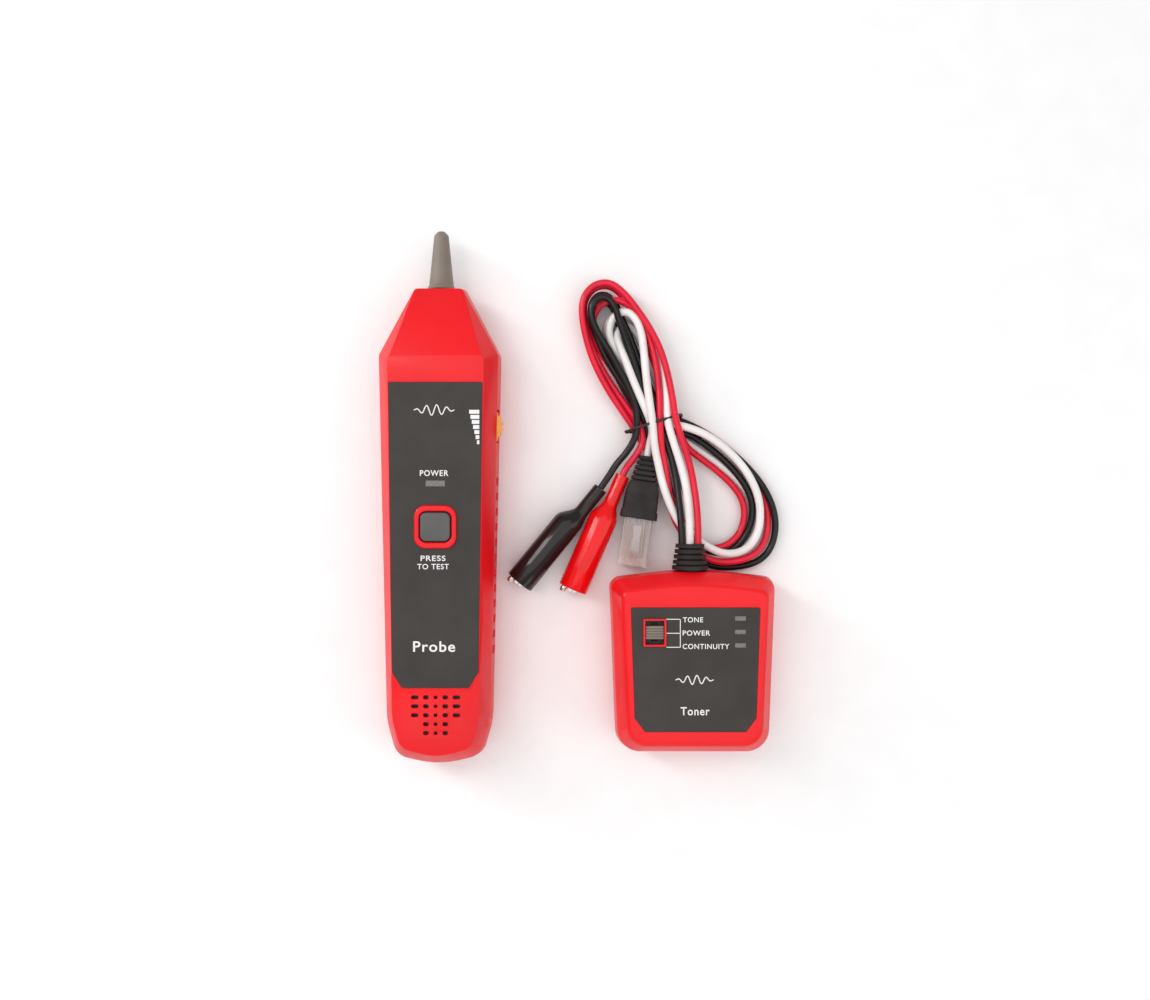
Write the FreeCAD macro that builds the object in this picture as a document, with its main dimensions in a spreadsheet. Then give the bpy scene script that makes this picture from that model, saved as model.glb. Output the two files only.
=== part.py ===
import FreeCAD, Part
import math
import os

import Sketcher
from FreeCAD import Placement, Rotation, Vector

# Tone probe kit: a hand-held probe and a toner with its lead set, lying on their backs.
# +Z is up out of the front faces, +Y runs along the probe to its tip, +X goes to the toner.
# The origin is under the middle of the two housings, on the surface that they lie on.

SIZES = {
    # heights shared by the two housings
    "heel_z": 5.0,
    "split_z": 14.0,
    "belt_z": 20.0,
    "case_floor": 2.4,
    "case_wall": 3.0,
    "face_wall": 2.4,
    "label_thick": 0.5,
    # probe housing, from its own centre line
    "probe_x": -54.44,
    "face_z": 29.0,
    "nose_y": 82.3,
    "nose_half": 10.1,
    "shoulder_y": 55.2,
    "shoulder_half": 24.36,
    "flank_y": -89.5,
    "flank_half": 21.1,
    "foot_y": -103.2,
    "foot_half": 17.2,
    "chin_y": -107.05,
    "face_nose_y": 53.8,
    "face_shoulder_y": 52.6,
    "face_shoulder_half": 18.6,
    "face_flank_y": -86.0,
    "face_flank_half": 16.6,
    "face_foot_y": -97.4,
    "face_foot_half": 13.4,
    "face_chin_y": -100.9,
    # probe fittings
    "label_top_y": 43.5,
    "label_top_half": 18.1,
    "label_side_y": -68.2,
    "label_side_half": 16.6,
    "label_end_y": -74.2,
    "label_end_half": 12.8,
    "button_y": -12.2,
    "button_wide": 11.6,
    "button_long": 11.1,
    "ring_wide": 16.4,
    "ring_long": 16.7,
    "ring_rise": 1.1,
    "window_y": 4.5,
    "window_wide": 7.4,
    "window_long": 2.2,
    "wheel_x": 17.3,
    "wheel_y": 27.3,
    "wheel_z": 16.2,
    "wheel_r": 8.0,
    "wheel_thick": 3.4,
    "pot_bore": 1.5,
    "grille_y": -84.9,
    "grille_pitch": 3.45,
    "board_z": 12.6,
    "board_thick": 1.2,
    "tip_z": 11.0,
    "tip_base": 4.9,
    "tip_end": 2.9,
    "tip_length": 23.8,
    "grip_first_y": 5.5,
    "grip_pitch": 6.04,
    # 9 V block battery and its door
    "battery_wide": 26.2,
    "battery_long": 48.5,
    "battery_thick": 17.0,
    "battery_z": 2.5,
    "door_wide": 30.0,
    "door_thick": 1.8,
    "door_gap": 0.25,
    # toner housing, from its own centre
    "toner_x": 45.92,
    "toner_y": -65.65,
    "toner_face_z": 28.0,
    "toner_top_y": 33.0,
    "toner_top_half": 33.0,
    "toner_crown_y": 36.95,
    "toner_end_y": -35.95,
    "toner_end_half": 30.3,
    "toner_slope": 4.8,
    "switch_x": -15.8,
    "switch_y": 12.6,
    "knob_wide": 7.0,
    "knob_long": 5.0,
    # lead set
    "gland_x": -0.6,
    "gland_r": 7.2,
    "lead_d": 2.8,
    "data_lead_d": 3.2,
    "tie_x": 32.1,
    "tie_y": 29.3,
    "tie_turn": 16.8,
    "boot_length": 50.4,
    "boot_r": 6.0,
    "boot_neck_r": 2.9,
    "boot_wall": 0.9,
    "pin_r": 0.7,
    "plug_wide": 11.68,
    "plug_thick": 6.6,
}


class Length:
    """A length that keeps its spreadsheet formula beside its number."""

    def __init__(self, number, formula):
        self.number = number
        self.formula = formula

    def __add__(self, other):
        other = length(other)
        return Length(self.number + other.number, f"({self.formula} + {other.formula})")

    def __sub__(self, other):
        other = length(other)
        return Length(self.number - other.number, f"({self.formula} - {other.formula})")

    def __mul__(self, factor):
        return Length(self.number * factor, f"({self.formula} * {factor})")

    def __neg__(self):
        return Length(-self.number, f"(0 - {self.formula})")


def length(value):
    if isinstance(value, Length):
        return value
    return Length(float(value), f"({float(value)})")


document = FreeCAD.newDocument("ToneProbeKit")
sheet = document.addObject("Spreadsheet::Sheet", "Sizes")
for row, (alias, value) in enumerate(SIZES.items(), start=1):
    sheet.set(f"A{row}", alias)
    sheet.set(f"B{row}", str(value))
    sheet.setAlias(f"B{row}", alias)
document.recompute()

pieces = []


def size(alias):
    return Length(SIZES[alias], f"Sizes.{alias}")


def bind(thing, path, value):
    thing.setExpression(path, length(value).formula)


# ---- helpers that stand for what a designer does in the sketcher and the feature tree ----

def start_body(label, x=0.0, y=0.0, z=0.0, turn=0.0):
    body = document.addObject("PartDesign::Body", label)
    body.Label = label
    x, y, z = length(x), length(y), length(z)
    body.Placement = Placement(Vector(x.number, y.number, z.number), Rotation(Vector(0, 0, 1), turn))
    bind(body, "Placement.Base.x", x)
    bind(body, "Placement.Base.y", y)
    bind(body, "Placement.Base.z", z)
    pieces.append(body)
    return body


def sketch_on(body, name, plane="XY_Plane", offset=0.0):
    sketch = body.newObject("Sketcher::SketchObject", name)
    support = [item for item in body.Origin.OriginFeatures if item.Role == plane][0]
    sketch.AttachmentSupport = [(support, "")]
    sketch.MapMode = "FlatFace"
    bind(sketch, "AttachmentOffset.Base.z", offset)
    return sketch


class Rules:
    """The constraints of one outline, added to its sketch together."""

    def __init__(self, sketch):
        self.sketch = sketch
        self.rules = []
        self.bound = []

    def add(self, *parts):
        self.rules.append(Sketcher.Constraint(*parts))

    def measure(self, value, *parts):
        self.bound.append((len(self.rules), value))
        self.add(*parts, value.number)

    def hold(self, item, spot, x, y):
        """Fix one point of the sketch at x and y."""
        for kind, axis, value in (("DistanceX", -2, length(x)), ("DistanceY", -1, length(y))):
            if value.number == 0.0:
                self.add("PointOnObject", item, spot, axis)
            else:
                self.measure(value, kind, -1, 1, item, spot)

    def apply(self):
        first = self.sketch.ConstraintCount
        self.sketch.addConstraint(self.rules)
        for index, value in self.bound:
            bind(self.sketch, f"Constraints[{first + index}]", value)


def outline(sketch, corners, radii=0.0):
    """Closed outline of straight sides; each corner is held at x, y and may be rounded."""
    count = len(corners)
    if not isinstance(radii, (list, tuple)):
        radii = [radii] * count
    points = [Vector(length(x).number, length(y).number, 0) for x, y in corners]
    enter, leave, reaches = [], [], []
    for index, point in enumerate(points):
        before = (points[index - 1] - point).normalize()
        after = (points[(index + 1) % count] - point).normalize()
        reaches.append(length(radii[index]).number / math.tan(before.getAngle(after) / 2))
        enter.append(point + before * reaches[-1])
        leave.append(point + after * reaches[-1])
    sides = [Part.LineSegment(leave[index], enter[(index + 1) % count]) for index in range(count)]
    lines = sketch.addGeometry(sides, False)
    rules = Rules(sketch)
    for index, (x, y) in enumerate(corners):
        radius = length(radii[index])
        before, after = lines[index - 1], lines[index]
        if radius.number == 0.0:
            rules.add("Coincident", before, 2, after, 1)
            rules.hold(after, 1, x, y)
            continue
        point = points[index]
        inward = ((enter[index] - point) + (leave[index] - point)).normalize()
        middle = point + inward * (math.hypot(radius.number, reaches[index]) - radius.number)
        arc = sketch.addGeometry(Part.Arc(enter[index], middle, leave[index]), False)
        starts_first = sketch.getPoint(arc, 1).sub(enter[index]).Length < 1e-6
        first, last = (1, 2) if starts_first else (2, 1)
        rules.add("Tangent", before, 2, arc, first)
        rules.add("Tangent", arc, last, after, 1)
        corner = sketch.addGeometry(Part.Point(point), True)
        rules.hold(corner, 1, x, y)
        rules.add("PointOnObject", corner, 1, before)
        rules.add("PointOnObject", corner, 1, after)
        rules.measure(radius, "Radius", arc)
    rules.apply()


def block(sketch, wide, long, x=0.0, y=0.0, radius=0.0):
    x, y = length(x), length(y)
    half_wide, half_long = length(wide) * 0.5, length(long) * 0.5
    left, right = x - half_wide, x + half_wide
    low, high = y - half_long, y + half_long
    outline(sketch, [(right, low), (right, high), (left, high), (left, low)], radius)


def circle(sketch, radius, x=0.0, y=0.0):
    x, y, radius = length(x), length(y), length(radius)
    centre = Vector(x.number, y.number, 0)
    ring = sketch.addGeometry(Part.Circle(centre, Vector(0, 0, 1), radius.number), False)
    rules = Rules(sketch)
    rules.hold(ring, 3, x, y)
    rules.measure(radius, "Radius", ring)
    rules.apply()


def symmetric(right_side):
    """The right side's corners from the bottom up, then the same ones down the left side."""
    left_side = [(-length(x), y) for x, y in reversed(right_side) if length(x).number != 0.0]
    return right_side + left_side


def settle(body, feature, grows):
    """Recompute, and check that the feature added or removed material."""
    before = body.Shape.Volume if body.Tip and not body.Shape.isNull() else 0.0
    body.Tip = feature
    document.recompute()
    change = body.Shape.Volume - before
    if (change > 0) != grows or abs(change) < 1e-4:
        raise RuntimeError(f"{body.Label}.{feature.Name} changed the volume by {change}")


def pad(body, name, sketch, height, down=False, both_ways=False):
    feature = body.newObject("PartDesign::Pad", name)
    feature.Profile = sketch
    if both_ways:
        feature.SideType = "Symmetric"
    feature.Reversed = down
    bind(feature, "Length", height)
    settle(body, feature, True)
    return feature


def pocket(body, name, sketch, depth, up=False, both_ways=False):
    feature = body.newObject("PartDesign::Pocket", name)
    feature.Profile = sketch
    if both_ways:
        feature.SideType = "Symmetric"
    feature.Reversed = up
    bind(feature, "Length", depth)
    settle(body, feature, False)
    return feature


def loft(body, name, sketches, ruled=True):
    feature = body.newObject("PartDesign::AdditiveLoft", name)
    feature.Profile = sketches[0]
    feature.Sections = sketches[1:]
    feature.Ruled = ruled
    settle(body, feature, True)
    return feature


def turned(body, name, sketch, cut=False):
    kind = "PartDesign::Groove" if cut else "PartDesign::Revolution"
    feature = body.newObject(kind, name)
    feature.Profile = sketch
    feature.ReferenceAxis = (sketch, ["V_Axis"])
    feature.Angle = 360
    settle(body, feature, not cut)
    return feature


def rounded(body, name, radius, chosen):
    """Fillet every edge of the body that the test picks."""
    base = body.Tip
    edges = [f"Edge{index}" for index, edge in enumerate(base.Shape.Edges, start=1) if chosen(edge)]
    feature = body.newObject("PartDesign::Fillet", name)
    feature.Base = (base, edges)
    bind(feature, "Radius", radius)
    body.Tip = feature
    document.recompute()
    return feature


def at_height(z):
    return lambda edge: abs(edge.BoundBox.ZMin - z) < 1e-4 and abs(edge.BoundBox.ZMax - z) < 1e-4


def placed_shape(label, shape, x=0.0, y=0.0, z=0.0, turn=0.0):
    """A piece whose shape no feature makes: its Placement is set after its Shape."""
    piece = document.addObject("Part::Feature", label)
    piece.Label = label
    piece.Shape = shape
    piece.Placement = Placement(Vector(x, y, z), Rotation(Vector(0, 0, 1), turn))
    pieces.append(piece)
    return piece


# ---- probe housing ----

def probe_section(inset, end_inset):
    half_points = [
        (length(0.0), size("chin_y") + end_inset),
        (size("foot_half") - inset, size("foot_y") + end_inset),
        (size("flank_half") - inset, size("flank_y") + end_inset),
        (size("shoulder_half") - inset, size("shoulder_y")),
        (size("nose_half") - inset, size("nose_y") - end_inset),
    ]
    return symmetric(half_points)


PROBE_RADII = [38.0, 7.0, 30.0, 5.0, 2.0]
PROBE_FACE_RADII = [24.0, 6.0, 26.0, 0.4, 0.4]


def both_sides(radii):
    return radii + list(reversed(radii[1:]))


def probe_face_section():
    return symmetric([
        (length(0.0), size("face_chin_y")),
        (size("face_foot_half"), size("face_foot_y")),
        (size("face_flank_half"), size("face_flank_y")),
        (size("face_shoulder_half"), size("face_shoulder_y")),
        (size("face_shoulder_half") - 1.0, size("face_nose_y")),
    ])


def probe_layer(body, name, height, inset, end_inset=None):
    end_inset = inset if end_inset is None else end_inset
    sketch = sketch_on(body, name, offset=height)
    outline(sketch, probe_section(inset, end_inset), both_sides(PROBE_RADII))
    return sketch


POST_SPOTS = [(10.6, 69.5), (16.4, -40.6)]
POST_R = 3.0


def screw_spots(spots):
    return [(side * x, y) for x, y in spots for side in (-1, 1)]


def add_posts(body, spots, low, high, bore, name):
    """Round posts for the case screws, each with its bore."""
    posts = sketch_on(body, name, offset=low)
    for x, y in screw_spots(spots):
        circle(posts, POST_R, x, y)
    pad(body, f"{name}Pad", posts, length(high) - low)
    bores = sketch_on(body, f"{name}Bores", offset=low)
    for x, y in screw_spots(spots):
        circle(bores, bore, x, y)
    return bores


def make_probe_front_shell():
    body = start_body("probe_front_shell", x=size("probe_x"))
    split, belt, face = size("split_z"), size("belt_z"), size("face_z")
    top = sketch_on(body, "FaceOutline", offset=face)
    outline(top, probe_face_section(), both_sides(PROBE_FACE_RADII))
    split_line = probe_layer(body, "SplitOutline", split, 0.0)
    loft(body, "LowerWall", [split_line, probe_layer(body, "BeltOutline", belt, 0.8)])
    loft(body, "Bevel", [probe_layer(body, "BeltAgain", belt, 0.8), top])
    wall = size("case_wall")
    pocket(body, "LowerCavity", probe_layer(body, "CavityOutline", split, wall), belt - split - 0.2, up=True)
    upper = sketch_on(body, "UpperOutline", offset=belt - 0.2)
    outline(upper, symmetric([(15.2, -95.0), (16.0, 51.0)]), 3.0)
    pocket(body, "UpperCavity", upper, face - belt - size("face_wall") + 0.2, up=True)
    bores = add_posts(body, POST_SPOTS, split, belt, 1.15, "Posts")
    pocket(body, "PilotHoles", bores, 5.2, up=True)
    ring = sketch_on(body, "RingOutline", offset=face - size("face_wall"))
    block(ring, size("ring_wide"), size("ring_long"), y=size("button_y"), radius=4.5)
    pad(body, "ButtonRing", ring, size("face_wall") + size("ring_rise"))
    well = sketch_on(body, "WellOutline", offset=face + 5)
    block(well, size("button_wide") + 0.8, size("button_long") + 0.8, y=size("button_y"), radius=2.9)
    pocket(body, "ButtonWell", well, 9.0)
    label = sketch_on(body, "LabelRecess", offset=face)
    outline(label, label_corners(0.15), 0.6)
    block(label, size("ring_wide"), size("ring_long"), y=size("button_y"), radius=4.5)
    pocket(body, "LabelPocket", label, size("label_thick"))
    step = sketch_on(body, "SpeakerStep", offset=face + 2)
    outline(step, symmetric([(30.0, -112.0), (30.0, -57.0), (17.6, -67.6), (13.2, -74.5)]))
    pocket(body, "SpeakerStepCut", step, 2.6)
    window = sketch_on(body, "WindowHole", offset=face)
    block(window, size("window_wide"), size("window_long"), y=size("window_y"))
    pocket(body, "WindowCut", window, 3.0)
    cut_grille(body, face)
    wheel = sketch_on(body, "WheelSlot", plane="YZ_Plane", offset=size("wheel_x"))
    wheel_middle = size("wheel_z") + size("wheel_thick") * 0.5
    block(wheel, 13.2, size("wheel_thick") + 0.8, size("wheel_y"), wheel_middle, 0.6)
    pocket(body, "WheelSlotCut", wheel, 12.0, up=True)
    wheel_room = sketch_on(body, "WheelRoom", offset=size("wheel_z") - 0.4)
    circle(wheel_room, size("wheel_r") + 0.5, size("wheel_x"), size("wheel_y"))
    pocket(body, "WheelRoomCut", wheel_room, size("wheel_thick") + 0.8, up=True)
    tip_hole(body)
    grip_notches(body, split)
    rounded(body, "RingRound", 0.7, at_height(face.number + SIZES["ring_rise"]))
    return body


def label_corners(gap=0.0):
    return symmetric([
        (size("label_end_half") + gap, size("label_end_y") - gap),
        (size("label_side_half") + gap, size("label_side_y")),
        (size("label_top_half") + gap, size("label_top_y") + gap),
    ])


def cut_grille(body, face):
    """Speaker holes: three middle columns of five, and one of three wide holes at each side."""
    top_row = size("grille_y") + size("grille_pitch") * 2
    columns = sketch_on(body, "GrilleMiddle", offset=face)
    block(columns, 1.5, 1.4, 0.0, top_row, 0.6)
    for side in (-1, 1):
        block(columns, 2.2, 1.7, side * 3.75, top_row, 0.8)
    pattern_down(body, pocket(body, "GrilleMiddleCut", columns, 4.0), columns, 5)
    outer = sketch_on(body, "GrilleOuter", offset=face)
    for side in (-1, 1):
        block(outer, 2.9, 1.6, side * 8.05, top_row, 0.75)
    pattern_down(body, pocket(body, "GrilleOuterCut", outer, 4.0), outer, 3)


def pattern_down(body, cut, sketch, count):
    rows = body.newObject("PartDesign::LinearPattern", f"{cut.Name}Rows")
    rows.Originals = [cut]
    rows.Direction = (sketch, ["V_Axis"])
    rows.Reversed = True
    bind(rows, "Length", size("grille_pitch") * (count - 1))
    rows.Occurrences = count
    settle(body, rows, False)


def tip_hole(body):
    hole = sketch_on(body, "TipHole", plane="XZ_Plane", offset=-size("nose_y") - 2.0)
    circle(hole, 4.5, 0.0, size("tip_z"))
    pocket(body, "TipHoleCut", hole, 9.0, up=True)


def grip_notches(body, low):
    """Twelve finger notches down each flank, which follow its slant."""
    for side in (-1, 1):
        notch = sketch_on(body, "GripLeft" if side < 0 else "GripRight", offset=low)
        for index in range(12):
            y = SIZES["grip_first_y"] - index * SIZES["grip_pitch"]
            slant = (SIZES["shoulder_half"] - SIZES["flank_half"]) / (SIZES["shoulder_y"] - SIZES["flank_y"])
            wall = SIZES["shoulder_half"] - (SIZES["shoulder_y"] - y) * slant
            block(notch, 3.0, 3.0, side * (wall + 0.75), y)
        pocket(body, notch.Name + "Cut", notch, 5.0, up=True)


def make_probe_back_shell():
    body = start_body("probe_back_shell", x=size("probe_x"))
    split, heel = size("split_z"), size("heel_z")
    split_line = probe_layer(body, "SplitOutline", split, 0.0)
    loft(body, "UpperWall", [split_line, probe_layer(body, "HeelOutline", heel, 0.8)])
    heel_line = probe_layer(body, "HeelAgain", heel, 0.8)
    loft(body, "LowerBevel", [heel_line, probe_layer(body, "BackOutline", 0.0, 4.4)])
    wall = size("case_wall")
    pocket(body, "UpperCavity", probe_layer(body, "CavityOutline", split, wall), split - heel)
    low = sketch_on(body, "BoardBay", offset=heel)
    outline(low, symmetric([(14.5, -38.0), (17.2, 50.0), (9.0, 76.0)]), 2.0)
    pocket(body, "BoardBayCut", low, heel - size("case_floor"))
    cut_door_seat(body, -44.0, -112.0)
    bay = sketch_on(body, "BatteryBay", offset=heel)
    block(bay, size("battery_wide") + 0.8, 52.4, 0.0, -70.8)
    pocket(body, "BatteryBayCut", bay, heel + 2.0)
    bulkhead = sketch_on(body, "Bulkhead", offset=heel)
    block(bulkhead, 41.0, 1.6, 0.0, -41.0)
    pad(body, "BulkheadPad", bulkhead, split - heel)
    bores = add_posts(body, POST_SPOTS, heel, split, 1.3, "Posts")
    pocket(body, "ShankHoles", bores, 12.0, up=True)
    heads = sketch_on(body, "HeadHoles")
    for x, y in screw_spots(POST_SPOTS):
        circle(heads, 2.6, x, y)
    pocket(body, "HeadHolesCut", heads, heel + 1.0, up=True)
    tip_hole(body)
    return body


def cut_door_seat(body, top, end):
    """The seat of the sliding battery door: a flush slot with an undercut on each side."""
    middle = (top + end) / 2
    span = top - end
    seat = sketch_on(body, "DoorSeat", offset=size("door_thick") + size("door_gap"))
    block(seat, size("door_wide") + size("door_gap") * 2, span, 0.0, middle)
    pocket(body, "DoorSeatCut", seat, 5.0)
    rails = sketch_on(body, "DoorRails", offset=0.85)
    block(rails, size("door_wide") + 2.0 + size("door_gap") * 2, span, 0.0, middle)
    pocket(body, "DoorRailsCut", rails, size("door_thick") + size("door_gap") - 0.85, up=True)


def make_battery_door(label, x, y, top, end, end_trim):
    body = start_body(label, x=x, y=y)
    gap = SIZES["door_gap"]
    plate = sketch_on(body, "Plate")
    half = size("door_wide") * 0.5
    outline(plate, symmetric([(half - end_trim, end), (half, end + 8.0), (half, top - gap)]), 0.5)
    pad(body, "PlatePad", plate, size("door_thick"))
    tongues = sketch_on(body, "Tongues", offset=1.1)
    block(tongues, size("door_wide") + 2.0, top - gap - end - 12.0, 0.0, (top - gap + end + 12.0) / 2)
    pad(body, "TonguesPad", tongues, size("door_thick") - 1.1)
    thumb = sketch_on(body, "ThumbGrooves")
    for index in range(5):
        block(thumb, 14.0, 1.0, 0.0, end + 10.0 + index * 2.0)
    pocket(body, "ThumbGroovesCut", thumb, 0.5, up=True)
    return body


def make_probe_label():
    body = start_body("probe_label", x=size("probe_x"))
    sheet_outline = sketch_on(body, "Outline", offset=size("face_z") - size("label_thick"))
    outline(sheet_outline, label_corners(), 0.6)
    block(sheet_outline, size("ring_wide") + 0.2, size("ring_long") + 0.2, y=size("button_y"), radius=4.6)
    block(sheet_outline, size("window_wide"), size("window_long"), y=size("window_y"))
    pad(body, "Sheet", sheet_outline, size("label_thick"))
    return body


def make_probe_tip():
    """Moulded nose: a collar that grips the housing's wall, and a tapered finger round the rod."""
    body = start_body("probe_tip", x=size("probe_x"), z=size("tip_z"))
    nose = size("nose_y")
    profile = sketch_on(body, "Profile", plane="XY_Plane")
    base, end = size("tip_base"), size("tip_end")
    outline(profile, [
        (1.3, nose - 4.4), (5.6, nose - 4.4), (5.6, nose - 3.15), (4.4, nose - 3.15),
        (4.4, nose + 0.1), (5.8, nose + 0.1), (5.8, nose + 0.6), (base, nose + 2.2),
        (end, nose + size("tip_length") - 1.6), (end - 1.5, nose + size("tip_length")),
        (0.0, nose + size("tip_length")), (0.0, nose + size("tip_length") - 2.4),
        (1.3, nose + size("tip_length") - 2.4),
    ])
    turned(body, "Turned", profile)
    return body


def cylinder_piece(label, radius, height, x, y, z, axis=Vector(0, 0, 1)):
    piece = document.addObject("Part::Cylinder", label)
    piece.Label = label
    bind(piece, "Radius", radius)
    bind(piece, "Height", height)
    x, y, z = length(x), length(y), length(z)
    piece.Placement = Placement(Vector(x.number, y.number, z.number), Rotation(Vector(0, 0, 1), axis))
    bind(piece, "Placement.Base.x", x)
    bind(piece, "Placement.Base.y", y)
    bind(piece, "Placement.Base.z", z)
    pieces.append(piece)
    return piece


def make_probe_board():
    body = start_body("probe_circuit_board", x=size("probe_x"))
    board = sketch_on(body, "Board", offset=size("board_z"))
    outline(board, symmetric([(12.5, -38.6), (12.5, -33.0), (18.0, -30.0), (19.0, 50.0), (13.0, 62.0)]), 0.8)
    pad(body, "BoardPad", board, size("board_thick"))
    return body


def board_top():
    return size("board_z") + size("board_thick")


def make_test_switch():
    body = start_body("test_switch", x=size("probe_x"), y=size("button_y"), z=board_top())
    case = sketch_on(body, "Case")
    block(case, 6.0, 6.0)
    pad(body, "CasePad", case, 3.5)
    stem = sketch_on(body, "Stem")
    circle(stem, 1.7)
    pad(body, "StemPad", stem, 5.0)
    return body


def make_test_button():
    body = start_body("test_button", x=size("probe_x"), y=size("button_y"))
    flange_low = size("face_z") - size("face_wall") - 1.4
    cap = sketch_on(body, "Cap", offset=flange_low)
    block(cap, size("button_wide"), size("button_long"), radius=2.4)
    pad(body, "CapPad", cap, 5.2)
    flange = sketch_on(body, "Flange", offset=flange_low)
    block(flange, size("button_wide") + 2.6, size("button_long") + 2.6, radius=2.4)
    pad(body, "FlangePad", flange, 1.2)
    post = sketch_on(body, "Post", offset=board_top() + 6.3)
    circle(post, 2.0)
    pad(body, "PostPad", post, flange_low - board_top() - 6.3)
    rounded(body, "CapRound", 0.6, at_height(flange_low.number + 5.2))
    return body


def make_volume_wheel():
    """Knurled thumb wheel: sixteen shallow scallops round the rim."""
    wheel_x = size("probe_x") + size("wheel_x")
    body = start_body("volume_wheel", x=wheel_x, y=size("wheel_y"), z=size("wheel_z"))
    disc = sketch_on(body, "Disc")
    circle(disc, size("wheel_r"))
    circle(disc, size("pot_bore") + 0.05)
    pad(body, "DiscPad", disc, size("wheel_thick"))
    scallop = sketch_on(body, "Scallop")
    circle(scallop, 0.8, size("wheel_r") + 0.25, 0.0)
    first = pocket(body, "FirstScallop", scallop, size("wheel_thick"), up=True)
    ring = body.newObject("PartDesign::PolarPattern", "Scallops")
    ring.Originals = [first]
    ring.Axis = (scallop, ["N_Axis"])
    ring.Angle = 360
    ring.Occurrences = 20
    body.Tip = ring
    document.recompute()
    return body


def make_volume_pot():
    body = start_body("volume_pot", x=size("probe_x") + size("wheel_x"), y=size("wheel_y"), z=board_top())
    case = sketch_on(body, "Case")
    block(case, 7.0, 9.0, -3.0, 0.0, 0.5)
    pad(body, "CasePad", case, size("wheel_z") - board_top() - 0.3)
    shaft = sketch_on(body, "Shaft")
    circle(shaft, size("pot_bore"))
    pad(body, "ShaftPad", shaft, size("wheel_z") + size("wheel_thick") - board_top())
    return body


def make_speaker():
    body = start_body("speaker", x=size("probe_x"), y=size("grille_y") + 3.4)
    top = size("face_z") - size("face_wall")
    frame = sketch_on(body, "Frame", offset=top)
    circle(frame, 12.6)
    pad(body, "FramePad", frame, 1.6, down=True)
    magnet = sketch_on(body, "Magnet", offset=top - 1.6)
    circle(magnet, 7.0)
    pad(body, "MagnetPad", magnet, 3.2, down=True)
    dish = sketch_on(body, "Dish", offset=top)
    circle(dish, 11.0)
    pocket(body, "DishCut", dish, 0.6)
    return body


def make_battery(label, x, y, base):
    body = start_body(label, x=x, y=y, z=base)
    case = sketch_on(body, "Case")
    block(case, size("battery_wide"), size("battery_long"), radius=1.8)
    pad(body, "CasePad", case, size("battery_thick"))
    posts = sketch_on(body, "Terminals", plane="XZ_Plane", offset=-(size("battery_long") * 0.5))
    circle(posts, 2.6, -6.35, size("battery_thick") * 0.5)
    circle(posts, 3.5, 6.35, size("battery_thick") * 0.5)
    pad(body, "TerminalsPad", posts, 1.6, down=True)
    return body


def make_battery_snap(label, x, y, base):
    """Flat clip over the battery's terminals."""
    body = start_body(label, x=x, y=y, z=base)
    plate = sketch_on(body, "Plate", plane="XZ_Plane", offset=-(size("battery_long") * 0.5) - 1.65)
    block(plate, 24.0, 11.0, 0.0, size("battery_thick") * 0.5, 1.5)
    pad(body, "PlatePad", plate, 0.9, down=True)
    return body


def make_window(label, x, y, top, wide, long, depth):
    body = start_body(label, x=x, y=y)
    pane = sketch_on(body, "Pane", offset=top)
    block(pane, wide, long)
    pad(body, "PanePad", pane, depth, down=True)
    return body


def make_lamps(label, x, spots, low, high):
    body = start_body(label, x=x)
    lamps = sketch_on(body, "Lamps", offset=low)
    for spot_x, spot_y in spots:
        circle(lamps, 1.0, spot_x, spot_y)
    pad(body, "LampsPad", lamps, length(high) - low)
    return body


def make_screws(label, x, y, spots, reach):
    """Pan head case screws, driven in from the back."""
    body = start_body(label, x=x, y=y)
    heads = sketch_on(body, "Heads", offset=size("heel_z") + 1.0)
    shanks = sketch_on(body, "Shanks", offset=size("heel_z") + 1.0)
    slots = sketch_on(body, "Slots", offset=size("heel_z") - 0.6)
    for spot_x, spot_y in screw_spots(spots):
        circle(heads, 2.3, spot_x, spot_y)
        circle(shanks, 1.1, spot_x, spot_y)
        block(slots, 3.0, 0.6, spot_x, spot_y)
    pad(body, "HeadsPad", heads, 1.6, down=True)
    pad(body, "ShanksPad", shanks, reach)
    pocket(body, "SlotsCut", slots, 0.8, up=True)
    return body


# ---- toner housing ----

TONER_RADII = [9.0, 4.5, 130.0]
TONER_POSTS = [(26.4, 24.0), (24.6, -26.5)]
TONER_WINDOWS = [(17.3, 18.05), (17.3, 12.85), (17.3, 7.65)]


def toner_section(inset):
    return [
        (size("toner_end_half") - inset, size("toner_end_y") + inset),
        (size("toner_top_half") - inset, size("toner_top_y") - inset),
        (length(0.0), size("toner_crown_y") - inset),
        (-(size("toner_top_half") - inset), size("toner_top_y") - inset),
        (-(size("toner_end_half") - inset), size("toner_end_y") + inset),
    ]


def toner_layer(body, name, height, inset, shrink=0.0):
    sketch = sketch_on(body, name, offset=height)
    end, top, crown = [radius - shrink for radius in TONER_RADII]
    outline(sketch, toner_section(inset), [end, top, crown, top, end])
    return sketch


def gland_hole(body):
    hole = sketch_on(body, "GlandHole", plane="XZ_Plane", offset=-(size("toner_crown_y") - 6.0))
    circle(hole, 5.0, size("gland_x"), size("split_z"))
    pocket(body, "GlandHoleCut", hole, 8.0)


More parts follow.
